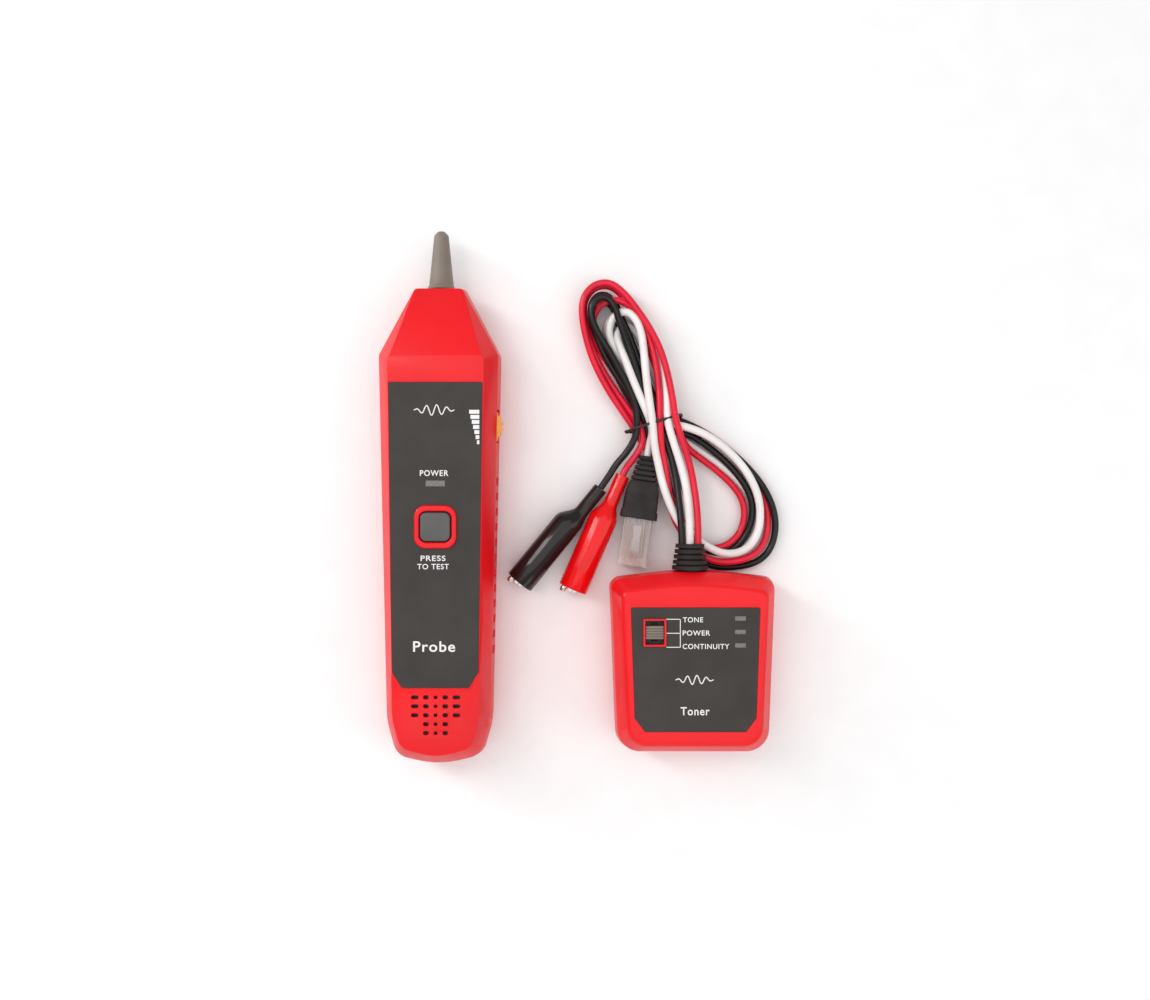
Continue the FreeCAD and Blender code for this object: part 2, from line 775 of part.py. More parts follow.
def make_toner_front_shell():
    body = start_body("toner_front_shell", x=size("toner_x"), y=size("toner_y"))
    split, belt, face = size("split_z"), size("belt_z"), size("toner_face_z")
    slope = size("toner_slope")
    split_line = toner_layer(body, "SplitOutline", split, 0.0)
    loft(body, "LowerWall", [split_line, toner_layer(body, "BeltOutline", belt, 0.7)])
    belt_line = toner_layer(body, "BeltAgain", belt, 0.7)
    loft(body, "Bevel", [belt_line, toner_layer(body, "FaceOutline", face, slope, 1.5)])
    rounded(body, "BeltRound", 2.6, at_height(belt.number))
    rounded(body, "FaceRound", 2.4, at_height(face.number))
    wall = size("case_wall")
    cavity = toner_layer(body, "CavityOutline", split, wall, 1.5)
    pocket(body, "LowerCavity", cavity, belt - split - 0.2, up=True)
    upper = sketch_on(body, "UpperOutline", offset=belt - 0.2)
    block(upper, 47.0, 54.0, 0.0, 0.0, 3.0)
    pocket(body, "UpperCavity", upper, face - belt - size("face_wall") + 0.2, up=True)
    bores = add_posts(body, TONER_POSTS, split, belt, 1.15, "Posts")
    pocket(body, "PilotHoles", bores, 5.2, up=True)
    frame = sketch_on(body, "FrameOutline", offset=face - 1.0)
    block(frame, 8.8, 10.6, size("switch_x"), size("switch_y"), 0.5)
    pad(body, "SwitchFrame", frame, 1.8)
    well = sketch_on(body, "WellOutline", offset=face + 5)
    block(well, size("knob_wide") + 0.4, 9.4, size("switch_x"), size("switch_y"), 0.3)
    pocket(body, "SwitchWell", well, 9.0)
    label = sketch_on(body, "LabelRecess", offset=face)
    outline(label, toner_label_corners(0.15), 0.8)
    block(label, 8.8, 10.6, size("switch_x"), size("switch_y"), 0.5)
    pocket(body, "LabelPocket", label, size("label_thick"))
    windows = sketch_on(body, "WindowHoles", offset=face)
    for x, y in TONER_WINDOWS:
        block(windows, 4.1, 1.6, x, y)
    pocket(body, "WindowCuts", windows, 3.0)
    gland_hole(body)
    return body


def toner_label_corners(gap=0.0):
    return symmetric([(19.4 + gap, -25.7 - gap), (23.4 + gap, -20.5), (24.9 + gap, 22.2 + gap)])


def make_toner_back_shell():
    body = start_body("toner_back_shell", x=size("toner_x"), y=size("toner_y"))
    split, heel = size("split_z"), size("heel_z")
    split_line = toner_layer(body, "SplitOutline", split, 0.0)
    loft(body, "UpperWall", [split_line, toner_layer(body, "HeelOutline", heel, 0.7)])
    heel_line = toner_layer(body, "HeelAgain", heel, 0.7)
    loft(body, "LowerBevel", [heel_line, toner_layer(body, "BackOutline", 0.0, 3.6, 1.5)])
    wall = size("case_wall")
    pocket(body, "UpperCavity", toner_layer(body, "CavityOutline", split, wall, 1.5), split - heel)
    cut_door_seat(body, 24.0, -45.0)
    bay = sketch_on(body, "BatteryBay", offset=heel)
    block(bay, size("battery_wide") + 0.8, 52.6, 0.0, -3.2)
    pocket(body, "BatteryBayCut", bay, heel + 2.0)
    bores = add_posts(body, TONER_POSTS, heel, split, 1.3, "Posts")
    pocket(body, "ShankHoles", bores, 12.0, up=True)
    heads = sketch_on(body, "HeadHoles")
    for x, y in screw_spots(TONER_POSTS):
        circle(heads, 2.6, x, y)
    pocket(body, "HeadHolesCut", heads, heel + 1.0, up=True)
    gland_hole(body)
    return body


def make_toner_label():
    body = start_body("toner_label", x=size("toner_x"), y=size("toner_y"))
    plate = sketch_on(body, "Outline", offset=size("toner_face_z") - size("label_thick"))
    outline(plate, toner_label_corners(), 0.8)
    block(plate, 9.0, 10.8, size("switch_x"), size("switch_y"), 0.6)
    for x, y in TONER_WINDOWS:
        block(plate, 4.1, 1.6, x, y)
    pad(body, "Sheet", plate, size("label_thick"))
    return body


def make_toner_windows():
    body = start_body("toner_led_windows", x=size("toner_x"), y=size("toner_y"))
    panes = sketch_on(body, "Panes", offset=size("toner_face_z"))
    for x, y in TONER_WINDOWS:
        block(panes, 4.1, 1.6, x, y)
    pad(body, "PanesPad", panes, 2.9, down=True)
    return body


def make_toner_board():
    body = start_body("toner_circuit_board", x=size("toner_x"), y=size("toner_y"))
    board = sketch_on(body, "Board", offset=20.9)
    block(board, 45.0, 52.0, 0.0, 0.0, 2.5)
    pad(body, "BoardPad", board, size("board_thick"))
    return body


def make_slide_switch():
    switch_x, switch_y = size("toner_x") + size("switch_x"), size("toner_y") + size("switch_y")
    body = start_body("slide_switch_body", x=switch_x, y=switch_y, z=22.1)
    case = sketch_on(body, "Case")
    block(case, 8.0, 12.0)
    pad(body, "CasePad", case, 3.3)
    slot = sketch_on(body, "Slot", offset=3.3)
    block(slot, 2.6, 7.4)
    pocket(body, "SlotCut", slot, 1.6)
    return body


def make_mode_knob():
    """Sliding knob: its stem stands in the switch, and five ridges cross its top."""
    switch_x, switch_y = size("toner_x") + size("switch_x"), size("toner_y") + size("switch_y")
    body = start_body("mode_switch_knob", x=switch_x, y=switch_y)
    grip = sketch_on(body, "Grip", offset=25.7)
    block(grip, size("knob_wide"), size("knob_long"), radius=0.4)
    pad(body, "GripPad", grip, 2.7)
    stem = sketch_on(body, "Stem", offset=24.1)
    block(stem, 2.2, 2.6)
    pad(body, "StemPad", stem, 1.8)
    grooves = sketch_on(body, "Grooves", offset=28.4)
    for index in range(4):
        block(grooves, size("knob_wide") + 1.0, 0.4, 0.0, -1.5 + index)
    pocket(body, "GroovesCut", grooves, 0.4)
    return body


# ---- cable gland and tie ----

def make_gland():
    """Ribbed strain relief: a flange inside the wall, a neck through it and five rings outside."""
    gland_x = size("toner_x") + size("gland_x")
    body = start_body("cable_gland", x=gland_x, y=size("toner_y"), z=size("split_z"))
    profile = sketch_on(body, "Profile")
    wall_in, wall_out = 32.6, 36.15
    corners = [(0.0, wall_in - 1.4), (5.6, wall_in - 1.4), (5.6, wall_in), (4.95, wall_in), (4.95, wall_out)]
    for index in range(5):
        low = wall_out + index * 2.16
        ring = SIZES["gland_r"] - index * 0.36
        core = ring - 1.5
        if index:
            corners.append((core, low))
        corners += [(ring, low), (ring, low + 1.45), (core, low + 1.45)]
    corners[-1] = (0.0, corners[-1][1])
    outline(profile, corners)
    turned(body, "Turned", profile)
    return body


GLAND_MOUTH = SIZES["toner_y"] + 36.15 + 4 * 2.16 + 1.45


def make_tie():
    """Thin plastic tie, drawn flat round the bundle."""
    body = start_body("hank_tie", x=size("tie_x"), y=size("tie_y"), z=5.9, turn=SIZES["tie_turn"])
    band = sketch_on(body, "Band", plane="XZ_Plane")
    block(band, 22.8, 11.4, radius=4.4)
    block(band, 20.8, 9.4, radius=3.4)
    pad(body, "BandPad", band, 1.3, both_ways=True)
    return body


# ---- leads: plain tubes with tangent arcs, and the hank as one closed solid ----

RED_ROOT = [(3.3, 0.0, 0.0), (3.3, 6.0, -0.4), (3.0, 15.0, -1.6), (1.6, 26.0, -3.3), (-0.5, 35.0, -4.7),
            (-2.7, 43.0, -5.4), (-5.1, 51.0, -5.4)]
WHITE_ROOT = [(0.0, 0.0, 0.0), (0.0, 6.0, -0.2), (-0.4, 15.0, -1.4), (-1.7, 26.0, -3.1), (-3.8, 35.0, -4.6),
              (-6.2, 43.0, -5.4), (-8.6, 51.0, -5.4)]
BLACK_ROOT = [(-3.2, 0.0, 0.0), (-3.3, 6.0, -0.5), (-3.9, 15.0, -1.8), (-5.2, 26.0, -3.5), (-7.3, 35.0, -4.9),
              (-9.7, 43.0, -5.4), (-12.1, 51.0, -5.4)]
BLACK_END = [(24.4, 28.0, 4.4), (23.3, 22.2, 4.6), (20.2, 17.2, 5.2), (16.1, 12.7, 5.8), (12.9, 7.4, 6.0),
             (9.8, 2.98, 6.0)]
RED_END = [(27.4, 27.6, 4.6), (26.6, 22.0, 4.8), (24.6, 17.4, 5.4), (21.9, 13.8, 5.9), (19.9, 10.8, 6.0),
           (18.78, 8.08, 6.0)]
WHITE_END = [(30.6, 28.0, 5.6), (30.4, 24.6, 5.6), (29.8, 21.4, 5.6), (29.3, 18.6, 5.6), (28.9, 15.9, 5.6)]


def root_route(steps):
    x, y, z = SIZES["toner_x"] + SIZES["gland_x"], GLAND_MOUTH, SIZES["split_z"]
    return [(x + across, y + along, z + rise) for across, along, rise in steps]


def tube(label, route, diameter):
    """Round tube of straight runs joined by tangent arcs as large as the runs allow."""
    points = [Vector(*point) for point in route]
    edges = []
    radii = []
    start = points[0]
    for before, corner, after in zip(points, points[1:], points[2:]):
        inward, outward = (before - corner), (after - corner)
        turn = math.pi - inward.getAngle(outward)
        reach = 0.45 * min(inward.Length, outward.Length)
        radius = reach / math.tan(turn / 2)
        radii.append(radius)
        enter = corner + inward.normalize() * reach
        leave = corner + outward.normalize() * reach
        halfway = ((enter - corner) + (leave - corner)).normalize()
        middle = corner + halfway * (math.hypot(radius, reach) - radius)
        edges.append(Part.LineSegment(start, enter).toShape())
        edges.append(Part.Arc(enter, middle, leave).toShape())
        start = leave
    edges.append(Part.LineSegment(start, points[-1]).toShape())
    path = Part.Wire(edges)
    section = Part.Wire(Part.makeCircle(diameter / 2, points[0], points[1] - points[0]))
    solid = path.makePipeShell([section], True, False)
    expected = math.pi * diameter ** 2 / 4 * path.Length
    print(f"{label}: length {path.Length:.1f}, volume {solid.Volume:.1f} of {expected:.1f},",
          "radii", " ".join(f"{radius:.0f}" for radius in radii))
    return solid


UPPER_LOBE = [
    (11.9, 86.6), (22.4, 81.6), (28.6, 71.6), (32.9, 61.0), (36.4, 51.0), (39.8, 41.0), (42.4, 32.0), (42.9, 27.3),
    (33.5, 24.3), (24.2, 21.6), (22.0, 28.0), (14.0, 40.4), (7.5, 51.0), (3.0, 63.4), (1.2, 74.0), (4.6, 83.4),
]
LOWER_LOBE = [
    (45.5, 29.0), (56.0, 23.9), (71.8, 10.8), (81.2, -5.4), (82.2, -17.5), (75.6, -27.2), (63.0, -28.2),
    (50.5, -26.4), (43.2, -16.0), (38.4, -4.0), (35.0, 8.0), (33.6, 17.5), (36.2, 25.6),
]
LOWER_LOBE_HOLE = [
    (46.0, 15.0), (55.6, 9.9), (64.0, 2.0), (67.6, -8.3), (62.6, -16.3), (53.0, -17.6), (47.2, -12.5),
    (44.2, -2.0), (43.4, 8.0),
]


def closed_curve(points, z):
    curve = Part.BSplineCurve()
    curve.interpolate([Vector(x, y, z) for x, y in points], PeriodicFlag=True)
    return Part.Wire(curve.toShape())


def make_hank():
    """The folded slack as one solid: a flat upper lobe through the tie and a ring-shaped lower lobe."""
    upper = Part.Face(closed_curve(UPPER_LOBE, 1.3)).extrude(Vector(0, 0, 9.1))
    ring = Part.Face(closed_curve(LOWER_LOBE, 0.4))
    hole = Part.Face(closed_curve(LOWER_LOBE_HOLE, 0.4))
    lower = ring.cut(hole).extrude(Vector(0, 0, 6.0))
    return upper.fuse(lower).removeSplitter()


def make_leads():
    hank = make_hank()
    thin, thick = SIZES["lead_d"], SIZES["data_lead_d"]
    placed_shape("lead_hank", hank)
    placed_shape("red_lead_root", tube("red_lead_root", root_route(RED_ROOT), thin).cut(hank))
    placed_shape("white_lead_root", tube("white_lead_root", root_route(WHITE_ROOT), thick).cut(hank))
    placed_shape("black_lead_root", tube("black_lead_root", root_route(BLACK_ROOT), thin).cut(hank))
    placed_shape("red_lead_end", tube("red_lead_end", RED_END, thin).cut(hank))
    placed_shape("white_lead_end", tube("white_lead_end", WHITE_END, thick).cut(hank))
    placed_shape("black_lead_end", tube("black_lead_end", BLACK_END, thin).cut(hank))


# ---- crocodile clips: made along -Y from the lead's end, then turned into place ----

CLIP_Z = 6.0
PIVOT_Y = -33.0


def boot_section(body, name, station, radius, across):
    sketch = sketch_on(body, name, plane="XZ_Plane", offset=station)
    circle(sketch, radius, across, 0.0)
    return sketch


def make_clip_boot(label, x, y, turn, neck_offset):
    body = start_body(label, x=x, y=y, z=CLIP_Z, turn=turn)
    neck, fat = size("boot_neck_r"), size("boot_r")
    stations = [(0.0, neck, neck_offset), (13.0, neck, neck_offset),
                (19.0, fat - 0.2, 0.0), (size("boot_length"), fat, 0.0)]
    outer = [boot_section(body, f"Outer{index}", *station) for index, station in enumerate(stations)]
    loft(body, "Skin", outer)
    wall = size("boot_wall")
    hollow_stations = [(3.0, neck - 1.3, neck_offset), (13.0, neck - 1.3, neck_offset),
                       (19.4, fat - 0.2 - wall, 0.0), (size("boot_length") + 1.0, fat - wall, 0.0)]
    inner = [boot_section(body, f"Inner{index}", *station) for index, station in enumerate(hollow_stations)]
    hollow = body.newObject("PartDesign::SubtractiveLoft", "Hollow")
    hollow.Profile = inner[0]
    hollow.Sections = inner[1:]
    hollow.Ruled = True
    settle(body, hollow, False)
    return body


def jaw_corners(side):
    """Side view of a jaw, from the tail to the rounded tip."""
    rows = [(4.0, -21.5), (3.4, -30.0), (3.2, -36.0), (2.3, -50.0), (1.3, -51.6),
            (0.25, -51.6), (0.25, -35.5), (1.4, -33.5), (1.6, -30.0), (3.2, -21.5)]
    return [(side * across, along) for across, along in rows]


def make_fixed_jaw(label, x, y, turn):
    """Channel of sheet steel with two ears for the pin and a crimped barrel for the wire."""
    body = start_body(label, x=x, y=y, z=CLIP_Z, turn=turn)
    side_view = sketch_on(body, "SideView")
    outline(side_view, jaw_corners(-1.0))
    pad(body, "Channel", side_view, 4.4, both_ways=True)
    ears = sketch_on(body, "Ears")
    ear_low, ear_high = PIVOT_Y - 2.0, PIVOT_Y + 2.0
    outline(ears, [(-2.6, ear_low), (1.4, ear_low), (1.4, ear_high), (-2.6, ear_high)], 0.6)
    pad(body, "EarsPad", ears, 4.4, both_ways=True)
    gap = sketch_on(body, "EarGap")
    outline(gap, [(-1.3, -48.6), (3.0, -48.6), (3.0, -28.0), (-1.3, -28.0)])
    pocket(body, "EarGapCut", gap, 3.2, both_ways=True)
    hole = sketch_on(body, "PinHole")
    circle(hole, size("pin_r"), 0.0, PIVOT_Y)
    pocket(body, "PinHoleCut", hole, 8.0, both_ways=True)
    barrel = sketch_on(body, "Barrel", plane="XZ_Plane", offset=18.2)
    circle(barrel, 1.3, -1.7, 0.0)
    pad(body, "BarrelPad", barrel, 6.0)
    return body


def make_moving_jaw(label, x, y, turn):
    body = start_body(label, x=x, y=y, z=CLIP_Z, turn=turn)
    side_view = sketch_on(body, "SideView")
    outline(side_view, jaw_corners(1.0))
    pad(body, "Channel", side_view, 3.0, both_ways=True)
    hub = sketch_on(body, "Hub")
    hub_low, hub_high = PIVOT_Y - 1.2, PIVOT_Y + 1.2
    outline(hub, [(-1.1, hub_low), (2.6, hub_low), (2.6, hub_high), (-1.1, hub_high)], 0.5)
    pad(body, "HubPad", hub, 3.0, both_ways=True)
    gap = sketch_on(body, "SpringGap")
    outline(gap, [(-2.0, PIVOT_Y - 2.2), (1.9, PIVOT_Y - 2.2), (1.9, PIVOT_Y + 3.2), (-2.0, PIVOT_Y + 3.2)])
    pocket(body, "SpringGapCut", gap, 2.2, both_ways=True)
    hole = sketch_on(body, "PinHole")
    circle(hole, size("pin_r") + 0.05, 0.0, PIVOT_Y)
    pocket(body, "PinHoleCut", hole, 8.0, both_ways=True)
    return body


def make_clip_pin(label, x, y, turn):
    body = start_body(label, x=x, y=y, z=CLIP_Z, turn=turn)
    pin = sketch_on(body, "Pin")
    circle(pin, size("pin_r"), 0.0, PIVOT_Y)
    pad(body, "PinPad", pin, 5.0, both_ways=True)
    return body


def make_clip_spring(label, x, y, turn):
    """Closed coil of the return spring, round the pin."""
    body = start_body(label, x=x, y=y, z=CLIP_Z, turn=turn)
    coil = sketch_on(body, "Coil")
    circle(coil, 1.05, 0.0, PIVOT_Y)
    circle(coil, size("pin_r") + 0.02, 0.0, PIVOT_Y)
    pad(body, "CoilPad", coil, 1.9, both_ways=True)
    return body


def make_clip(colour, x, y, turn, neck_offset):
    make_clip_boot(f"{colour}_clip_boot", x, y, turn, neck_offset)
    make_fixed_jaw(f"{colour}_clip_fixed_jaw", x, y, turn)
    make_moving_jaw(f"{colour}_clip_jaw", x, y, turn)
    make_clip_pin(f"{colour}_clip_pin", x, y, turn)
    make_clip_spring(f"{colour}_clip_spring", x, y, turn)


# ---- modular plug: made along -Y from the lead's end, then turned into place ----

PLUG = (28.9, 15.9, 5.6, -8.5)


def make_plug_boot():
    body = start_body("plug_boot", *PLUG)
    lower = sketch_on(body, "Shoulder", plane="XZ_Plane", offset=10.4)
    block(lower, 11.4, 9.6, 0.0, 0.0, 2.4)
    mouth = sketch_on(body, "Mouth", plane="XZ_Plane", offset=25.6)
    block(mouth, 14.8, 10.8, 0.0, 0.0, 1.6)
    loft(body, "Block", [lower, mouth])
    hollow = sketch_on(body, "Hollow", plane="XZ_Plane", offset=25.6)
    block(hollow, size("plug_wide") + 0.1, size("plug_thick") + 0.1)
    pocket(body, "HollowCut", hollow, 3.6)
    for index in range(5):
        rib = sketch_on(body, f"Rib{index}", plane="XZ_Plane", offset=index * 2.1)
        block(rib, 6.8 + index * 0.9, 6.6 + index * 0.6, 0.0, 0.0, 2.2)
        pad(body, f"Rib{index}Pad", rib, 1.4)
    core = sketch_on(body, "Core", plane="XZ_Plane")
    circle(core, 2.6)
    pad(body, "CorePad", core, 11.0)
    slot = sketch_on(body, "LatchSlot", plane="XZ_Plane", offset=27.0)
    block(slot, 6.4, 4.0, 0.0, 5.2)
    pocket(body, "LatchSlotCut", slot, 6.0)
    return body


PLUG_END_Y = -44.8


def make_plug_body():
    body = start_body("plug_body", *PLUG)
    block_view = sketch_on(body, "Block", plane="XZ_Plane", offset=22.2)
    block(block_view, size("plug_wide"), size("plug_thick"), 0.0, 0.0, 0.3)
    pad(body, "BlockPad", block_view, -PLUG_END_Y - 22.2)
    bay = sketch_on(body, "WireBay", plane="XZ_Plane", offset=22.2)
    block(bay, 9.2, 3.0, 0.0, 0.2)
    pocket(body, "WireBayCut", bay, 19.4, up=True)
    slots = sketch_on(body, "ContactSlots", offset=-3.3)
    for index in range(8):
        block(slots, 0.5, 6.4, (index - 3.5) * 1.02, PLUG_END_Y + 4.2)
    pocket(body, "ContactSlotsCut", slots, 1.9, up=True)
    ledge = sketch_on(body, "LatchRoot", offset=3.3)
    block(ledge, 6.0, 2.0, 0.0, PLUG_END_Y + 1.0)
    pad(body, "LatchRootPad", ledge, 0.9)
    return body


def make_plug_contacts():
    body = start_body("plug_contacts", *PLUG)
    blades = sketch_on(body, "Blades", offset=-2.9)
    for index in range(8):
        block(blades, 0.4, 6.0, (index - 3.5) * 1.02, PLUG_END_Y + 4.2)
    pad(body, "BladesPad", blades, 1.4)
    return body


def make_plug_wires():
    """The eight cores of the lead, side by side in the plug's bay."""
    body = start_body("plug_cores", *PLUG)
    cores = sketch_on(body, "Cores", plane="XZ_Plane", offset=22.4)
    for index in range(8):
        circle(cores, 0.48, (index - 3.5) * 1.1, 0.2)
    pad(body, "CoresPad", cores, 19.0)
    return body


def make_plug_latch():
    """Springy latch: rooted at the plug's nose, it rises back toward the boot."""
    body = start_body("plug_latch", *PLUG)
    side_view = sketch_on(body, "SideView", plane="YZ_Plane")
    outline(side_view, [
        (PLUG_END_Y + 2.15, 3.4), (PLUG_END_Y + 6.0, 4.6), (PLUG_END_Y + 16.6, 5.9), (PLUG_END_Y + 16.6, 6.7),
        (PLUG_END_Y + 7.4, 5.9), (PLUG_END_Y + 6.0, 5.7), (PLUG_END_Y + 2.15, 4.2),
    ])
    pad(body, "LatchPad", side_view, 3.2, both_ways=True)
    return body


# ---- assembly ----

def make_probe():
    probe_x = size("probe_x")
    make_probe_front_shell()
    make_probe_back_shell()
    make_probe_label()
    make_probe_tip()
    cylinder_piece("tip_antenna", 1.1, 42.0, probe_x, size("nose_y") - 21.0, size("tip_z"), Vector(0, 1, 0))
    make_probe_board()
    make_lamps("probe_led", probe_x, [(0.0, SIZES["window_y"])], board_top(), size("face_z") - 3.0)
    make_window("probe_led_window", probe_x, size("window_y"), size("face_z"),
                size("window_wide"), size("window_long"), 2.9)
    make_test_switch()
    make_test_button()
    make_volume_pot()
    make_volume_wheel()
    make_speaker()
    make_battery("probe_battery", probe_x, -71.8, size("battery_z"))
    make_battery_snap("probe_battery_snap", probe_x, -71.8, size("battery_z"))
    make_battery_door("probe_battery_door", probe_x, 0.0, -44.0, -101.4, 4.0)
    make_screws("probe_case_screws", probe_x, 0.0, POST_SPOTS, 12.6)


def make_toner():
    x, y = size("toner_x"), size("toner_y")
    make_toner_front_shell()
    make_toner_back_shell()
    make_toner_label()
    make_toner_board()
    make_toner_windows()
    lamp_spots = [(spot_x, spot_y + SIZES["toner_y"]) for spot_x, spot_y in TONER_WINDOWS]
    make_lamps("toner_leds", x, lamp_spots, 22.1, size("toner_face_z") - 3.0)
    make_slide_switch()
    make_mode_knob()
    make_battery("toner_battery", x, y - 4.6, size("battery_z"))
    make_battery_snap("toner_battery_snap", x, y - 4.6, size("battery_z"))
    make_battery_door("toner_battery_door", x, y, 24.0, -32.2, 0.6)
    make_screws("toner_case_screws", x, y, TONER_POSTS, 12.6)
    make_gland()


def make_lead_set():
    make_leads()
    make_tie()
    make_clip("red", 18.5, 8.2, -23.5, 0.3)
    make_clip("black", 8.5, 3.9, -39.0, 1.6)
    make_plug_boot()
    make_plug_body()
    make_plug_contacts()
    make_plug_wires()
    make_plug_latch()


def write_pieces():
    document.recompute()
    for item in document.Objects:
        if "Invalid" in item.State or "Error" in item.State:
            raise RuntimeError(f"{item.Name} failed: {item.State}")
    os.makedirs("parts", exist_ok=True)
    for piece in pieces:
        if piece.Shape.isNull() or not piece.Shape.isValid():
            raise RuntimeError(f"{piece.Label} has no valid shape")
        piece.Shape.exportStep(f"parts/{piece.Label}.step")
        print(f"{piece.Label}: {len(piece.Shape.Solids)} solid(s), {piece.Shape.Volume:.0f} mm3")


make_probe()
make_toner()
make_lead_set()
write_pieces()
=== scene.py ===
import math

import bpy
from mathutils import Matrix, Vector


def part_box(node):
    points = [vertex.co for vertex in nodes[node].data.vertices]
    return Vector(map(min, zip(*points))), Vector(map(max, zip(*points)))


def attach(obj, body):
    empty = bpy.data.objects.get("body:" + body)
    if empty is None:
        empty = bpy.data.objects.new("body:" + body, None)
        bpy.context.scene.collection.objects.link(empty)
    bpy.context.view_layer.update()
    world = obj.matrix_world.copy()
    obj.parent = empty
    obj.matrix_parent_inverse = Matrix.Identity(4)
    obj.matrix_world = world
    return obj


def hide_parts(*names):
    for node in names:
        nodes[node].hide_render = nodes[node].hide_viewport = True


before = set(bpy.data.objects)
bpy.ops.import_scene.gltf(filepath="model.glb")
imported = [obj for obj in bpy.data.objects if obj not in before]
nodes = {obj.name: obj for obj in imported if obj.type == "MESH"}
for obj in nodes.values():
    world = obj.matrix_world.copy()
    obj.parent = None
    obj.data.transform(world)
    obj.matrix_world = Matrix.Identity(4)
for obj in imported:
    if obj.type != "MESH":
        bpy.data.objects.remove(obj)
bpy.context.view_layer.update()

# The lens takes in a 460 mm wide field at half the height of the housings.
camera_data = bpy.data.cameras.new("overhead_camera")
camera_data.lens = 31.304
camera_data.sensor_width = 36.0
camera = bpy.data.objects.new("overhead_camera", camera_data)
camera.location = (-0.00066, -0.00186, 0.414)
bpy.context.scene.collection.objects.link(camera)
bpy.context.scene.camera = camera
bpy.context.scene.view_settings.view_transform = "Standard"


def soft_box(name, place, wide, long, watts):
    """A white area light that faces the middle of the table."""
    data = bpy.data.lights.new(name, "AREA")
    data.shape = "RECTANGLE"
    data.size = wide
    data.size_y = long
    data.energy = watts
    box = bpy.data.objects.new(name, data)
    box.location = place
    aim = -Vector(place)
    box.rotation_euler = aim.to_track_quat("-Z", "Y").to_euler()
    bpy.context.scene.collection.objects.link(box)


soft_box("ceiling_box", (0.0, 0.10, 1.5), 1.6, 1.6, 8.2)
soft_box("left_strip", (-0.62, 0.34, 0.52), 0.16, 0.9, 3.6)
soft_box("right_fill", (0.75, -0.2, 0.6), 0.5, 0.8, 1.5)
soft_box("foot_fill", (0.0, -0.8, 0.5), 0.9, 0.3, 1.2)

world = bpy.data.worlds.new("studio")
world.use_nodes = True
world.node_tree.nodes["Background"].inputs["Color"].default_value = (1.0, 1.0, 1.0, 1.0)
world.node_tree.nodes["Background"].inputs["Strength"].default_value = 0.48
bpy.context.scene.world = world


def plain_material(name, colour, roughness, metallic=0.0, coat=0.0, specular=0.5):
    """A material with its constants on the shader's own sockets, and the shader itself."""
    material = bpy.data.materials.new(name)
    material.use_nodes = True
    shader = material.node_tree.nodes["Principled BSDF"]
    shader.inputs["Base Color"].default_value = (*colour, 1.0)
    shader.inputs["Roughness"].default_value = roughness
    shader.inputs["Metallic"].default_value = metallic
    shader.inputs["Coat Weight"].default_value = coat
    shader.inputs["Coat Roughness"].default_value = 0.08
    shader.inputs["Specular IOR Level"].default_value = specular
    return material, shader


def noise_on(material, scale, detail=3.0, stretch=(1.0, 1.0, 1.0)):
    """Noise over the piece's own coordinates; stretch pulls the grain out along an axis."""
    tree = material.node_tree
    place = tree.nodes.new("ShaderNodeTexCoord")
    mapping = tree.nodes.new("ShaderNodeMapping")
    mapping.inputs["Scale"].default_value = stretch
    noise = tree.nodes.new("ShaderNodeTexNoise")
    noise.inputs["Scale"].default_value = scale
    noise.inputs["Detail"].default_value = detail
    tree.links.new(place.outputs["Object"], mapping.inputs["Vector"])
    tree.links.new(mapping.outputs["Vector"], noise.inputs["Vector"])
    return noise


def spread(material, source, low, high, target):
    """The source, from low to high, into a socket of the shader."""
    ramp = material.node_tree.nodes.new("ShaderNodeMapRange")
    ramp.inputs["From Min"].default_value = 0.3
    ramp.inputs["From Max"].default_value = 0.7
    ramp.inputs["To Min"].default_value = low
    ramp.inputs["To Max"].default_value = high
    material.node_tree.links.new(source.outputs[0], ramp.inputs["Value"])
    material.node_tree.links.new(ramp.outputs["Result"], target)


def tint(material, source, dark, light, target):
    """A colour that drifts between two shades with the source."""
    ramp = material.node_tree.nodes.new("ShaderNodeValToRGB")
    ramp.color_ramp.elements[0].position = 0.35
    ramp.color_ramp.elements[0].color = (*dark, 1.0)
    ramp.color_ramp.elements[1].position = 0.65
    ramp.color_ramp.elements[1].color = (*light, 1.0)
    material.node_tree.links.new(source.outputs[0], ramp.inputs["Fac"])
    material.node_tree.links.new(ramp.outputs["Color"], target)


def relief(material, shader, source, depth, strength):
    """Fine relief from the source, depth in metres."""
    bump = material.node_tree.nodes.new("ShaderNodeBump")
    bump.inputs["Strength"].default_value = strength
    bump.inputs["Distance"].default_value = depth
    material.node_tree.links.new(source.outputs[0], bump.inputs["Height"])
    material.node_tree.links.new(bump.outputs["Normal"], shader.inputs["Normal"])


bpy.ops.object.select_all(action="DESELECT")
bpy.ops.mesh.primitive_plane_add(size=8.0, location=(0.0, 0.0, -0.0002))
table_top = bpy.context.object
table_top.name = "table_top"
board, board_shader = plain_material("pale_board", (0.93, 0.93, 0.93), 0.85, specular=0.1)
board_grain = noise_on(board, 60.0)
tint(board, board_grain, (0.92, 0.92, 0.92), (0.94, 0.94, 0.94), board_shader.inputs["Base Color"])
table_top.data.materials.append(board)

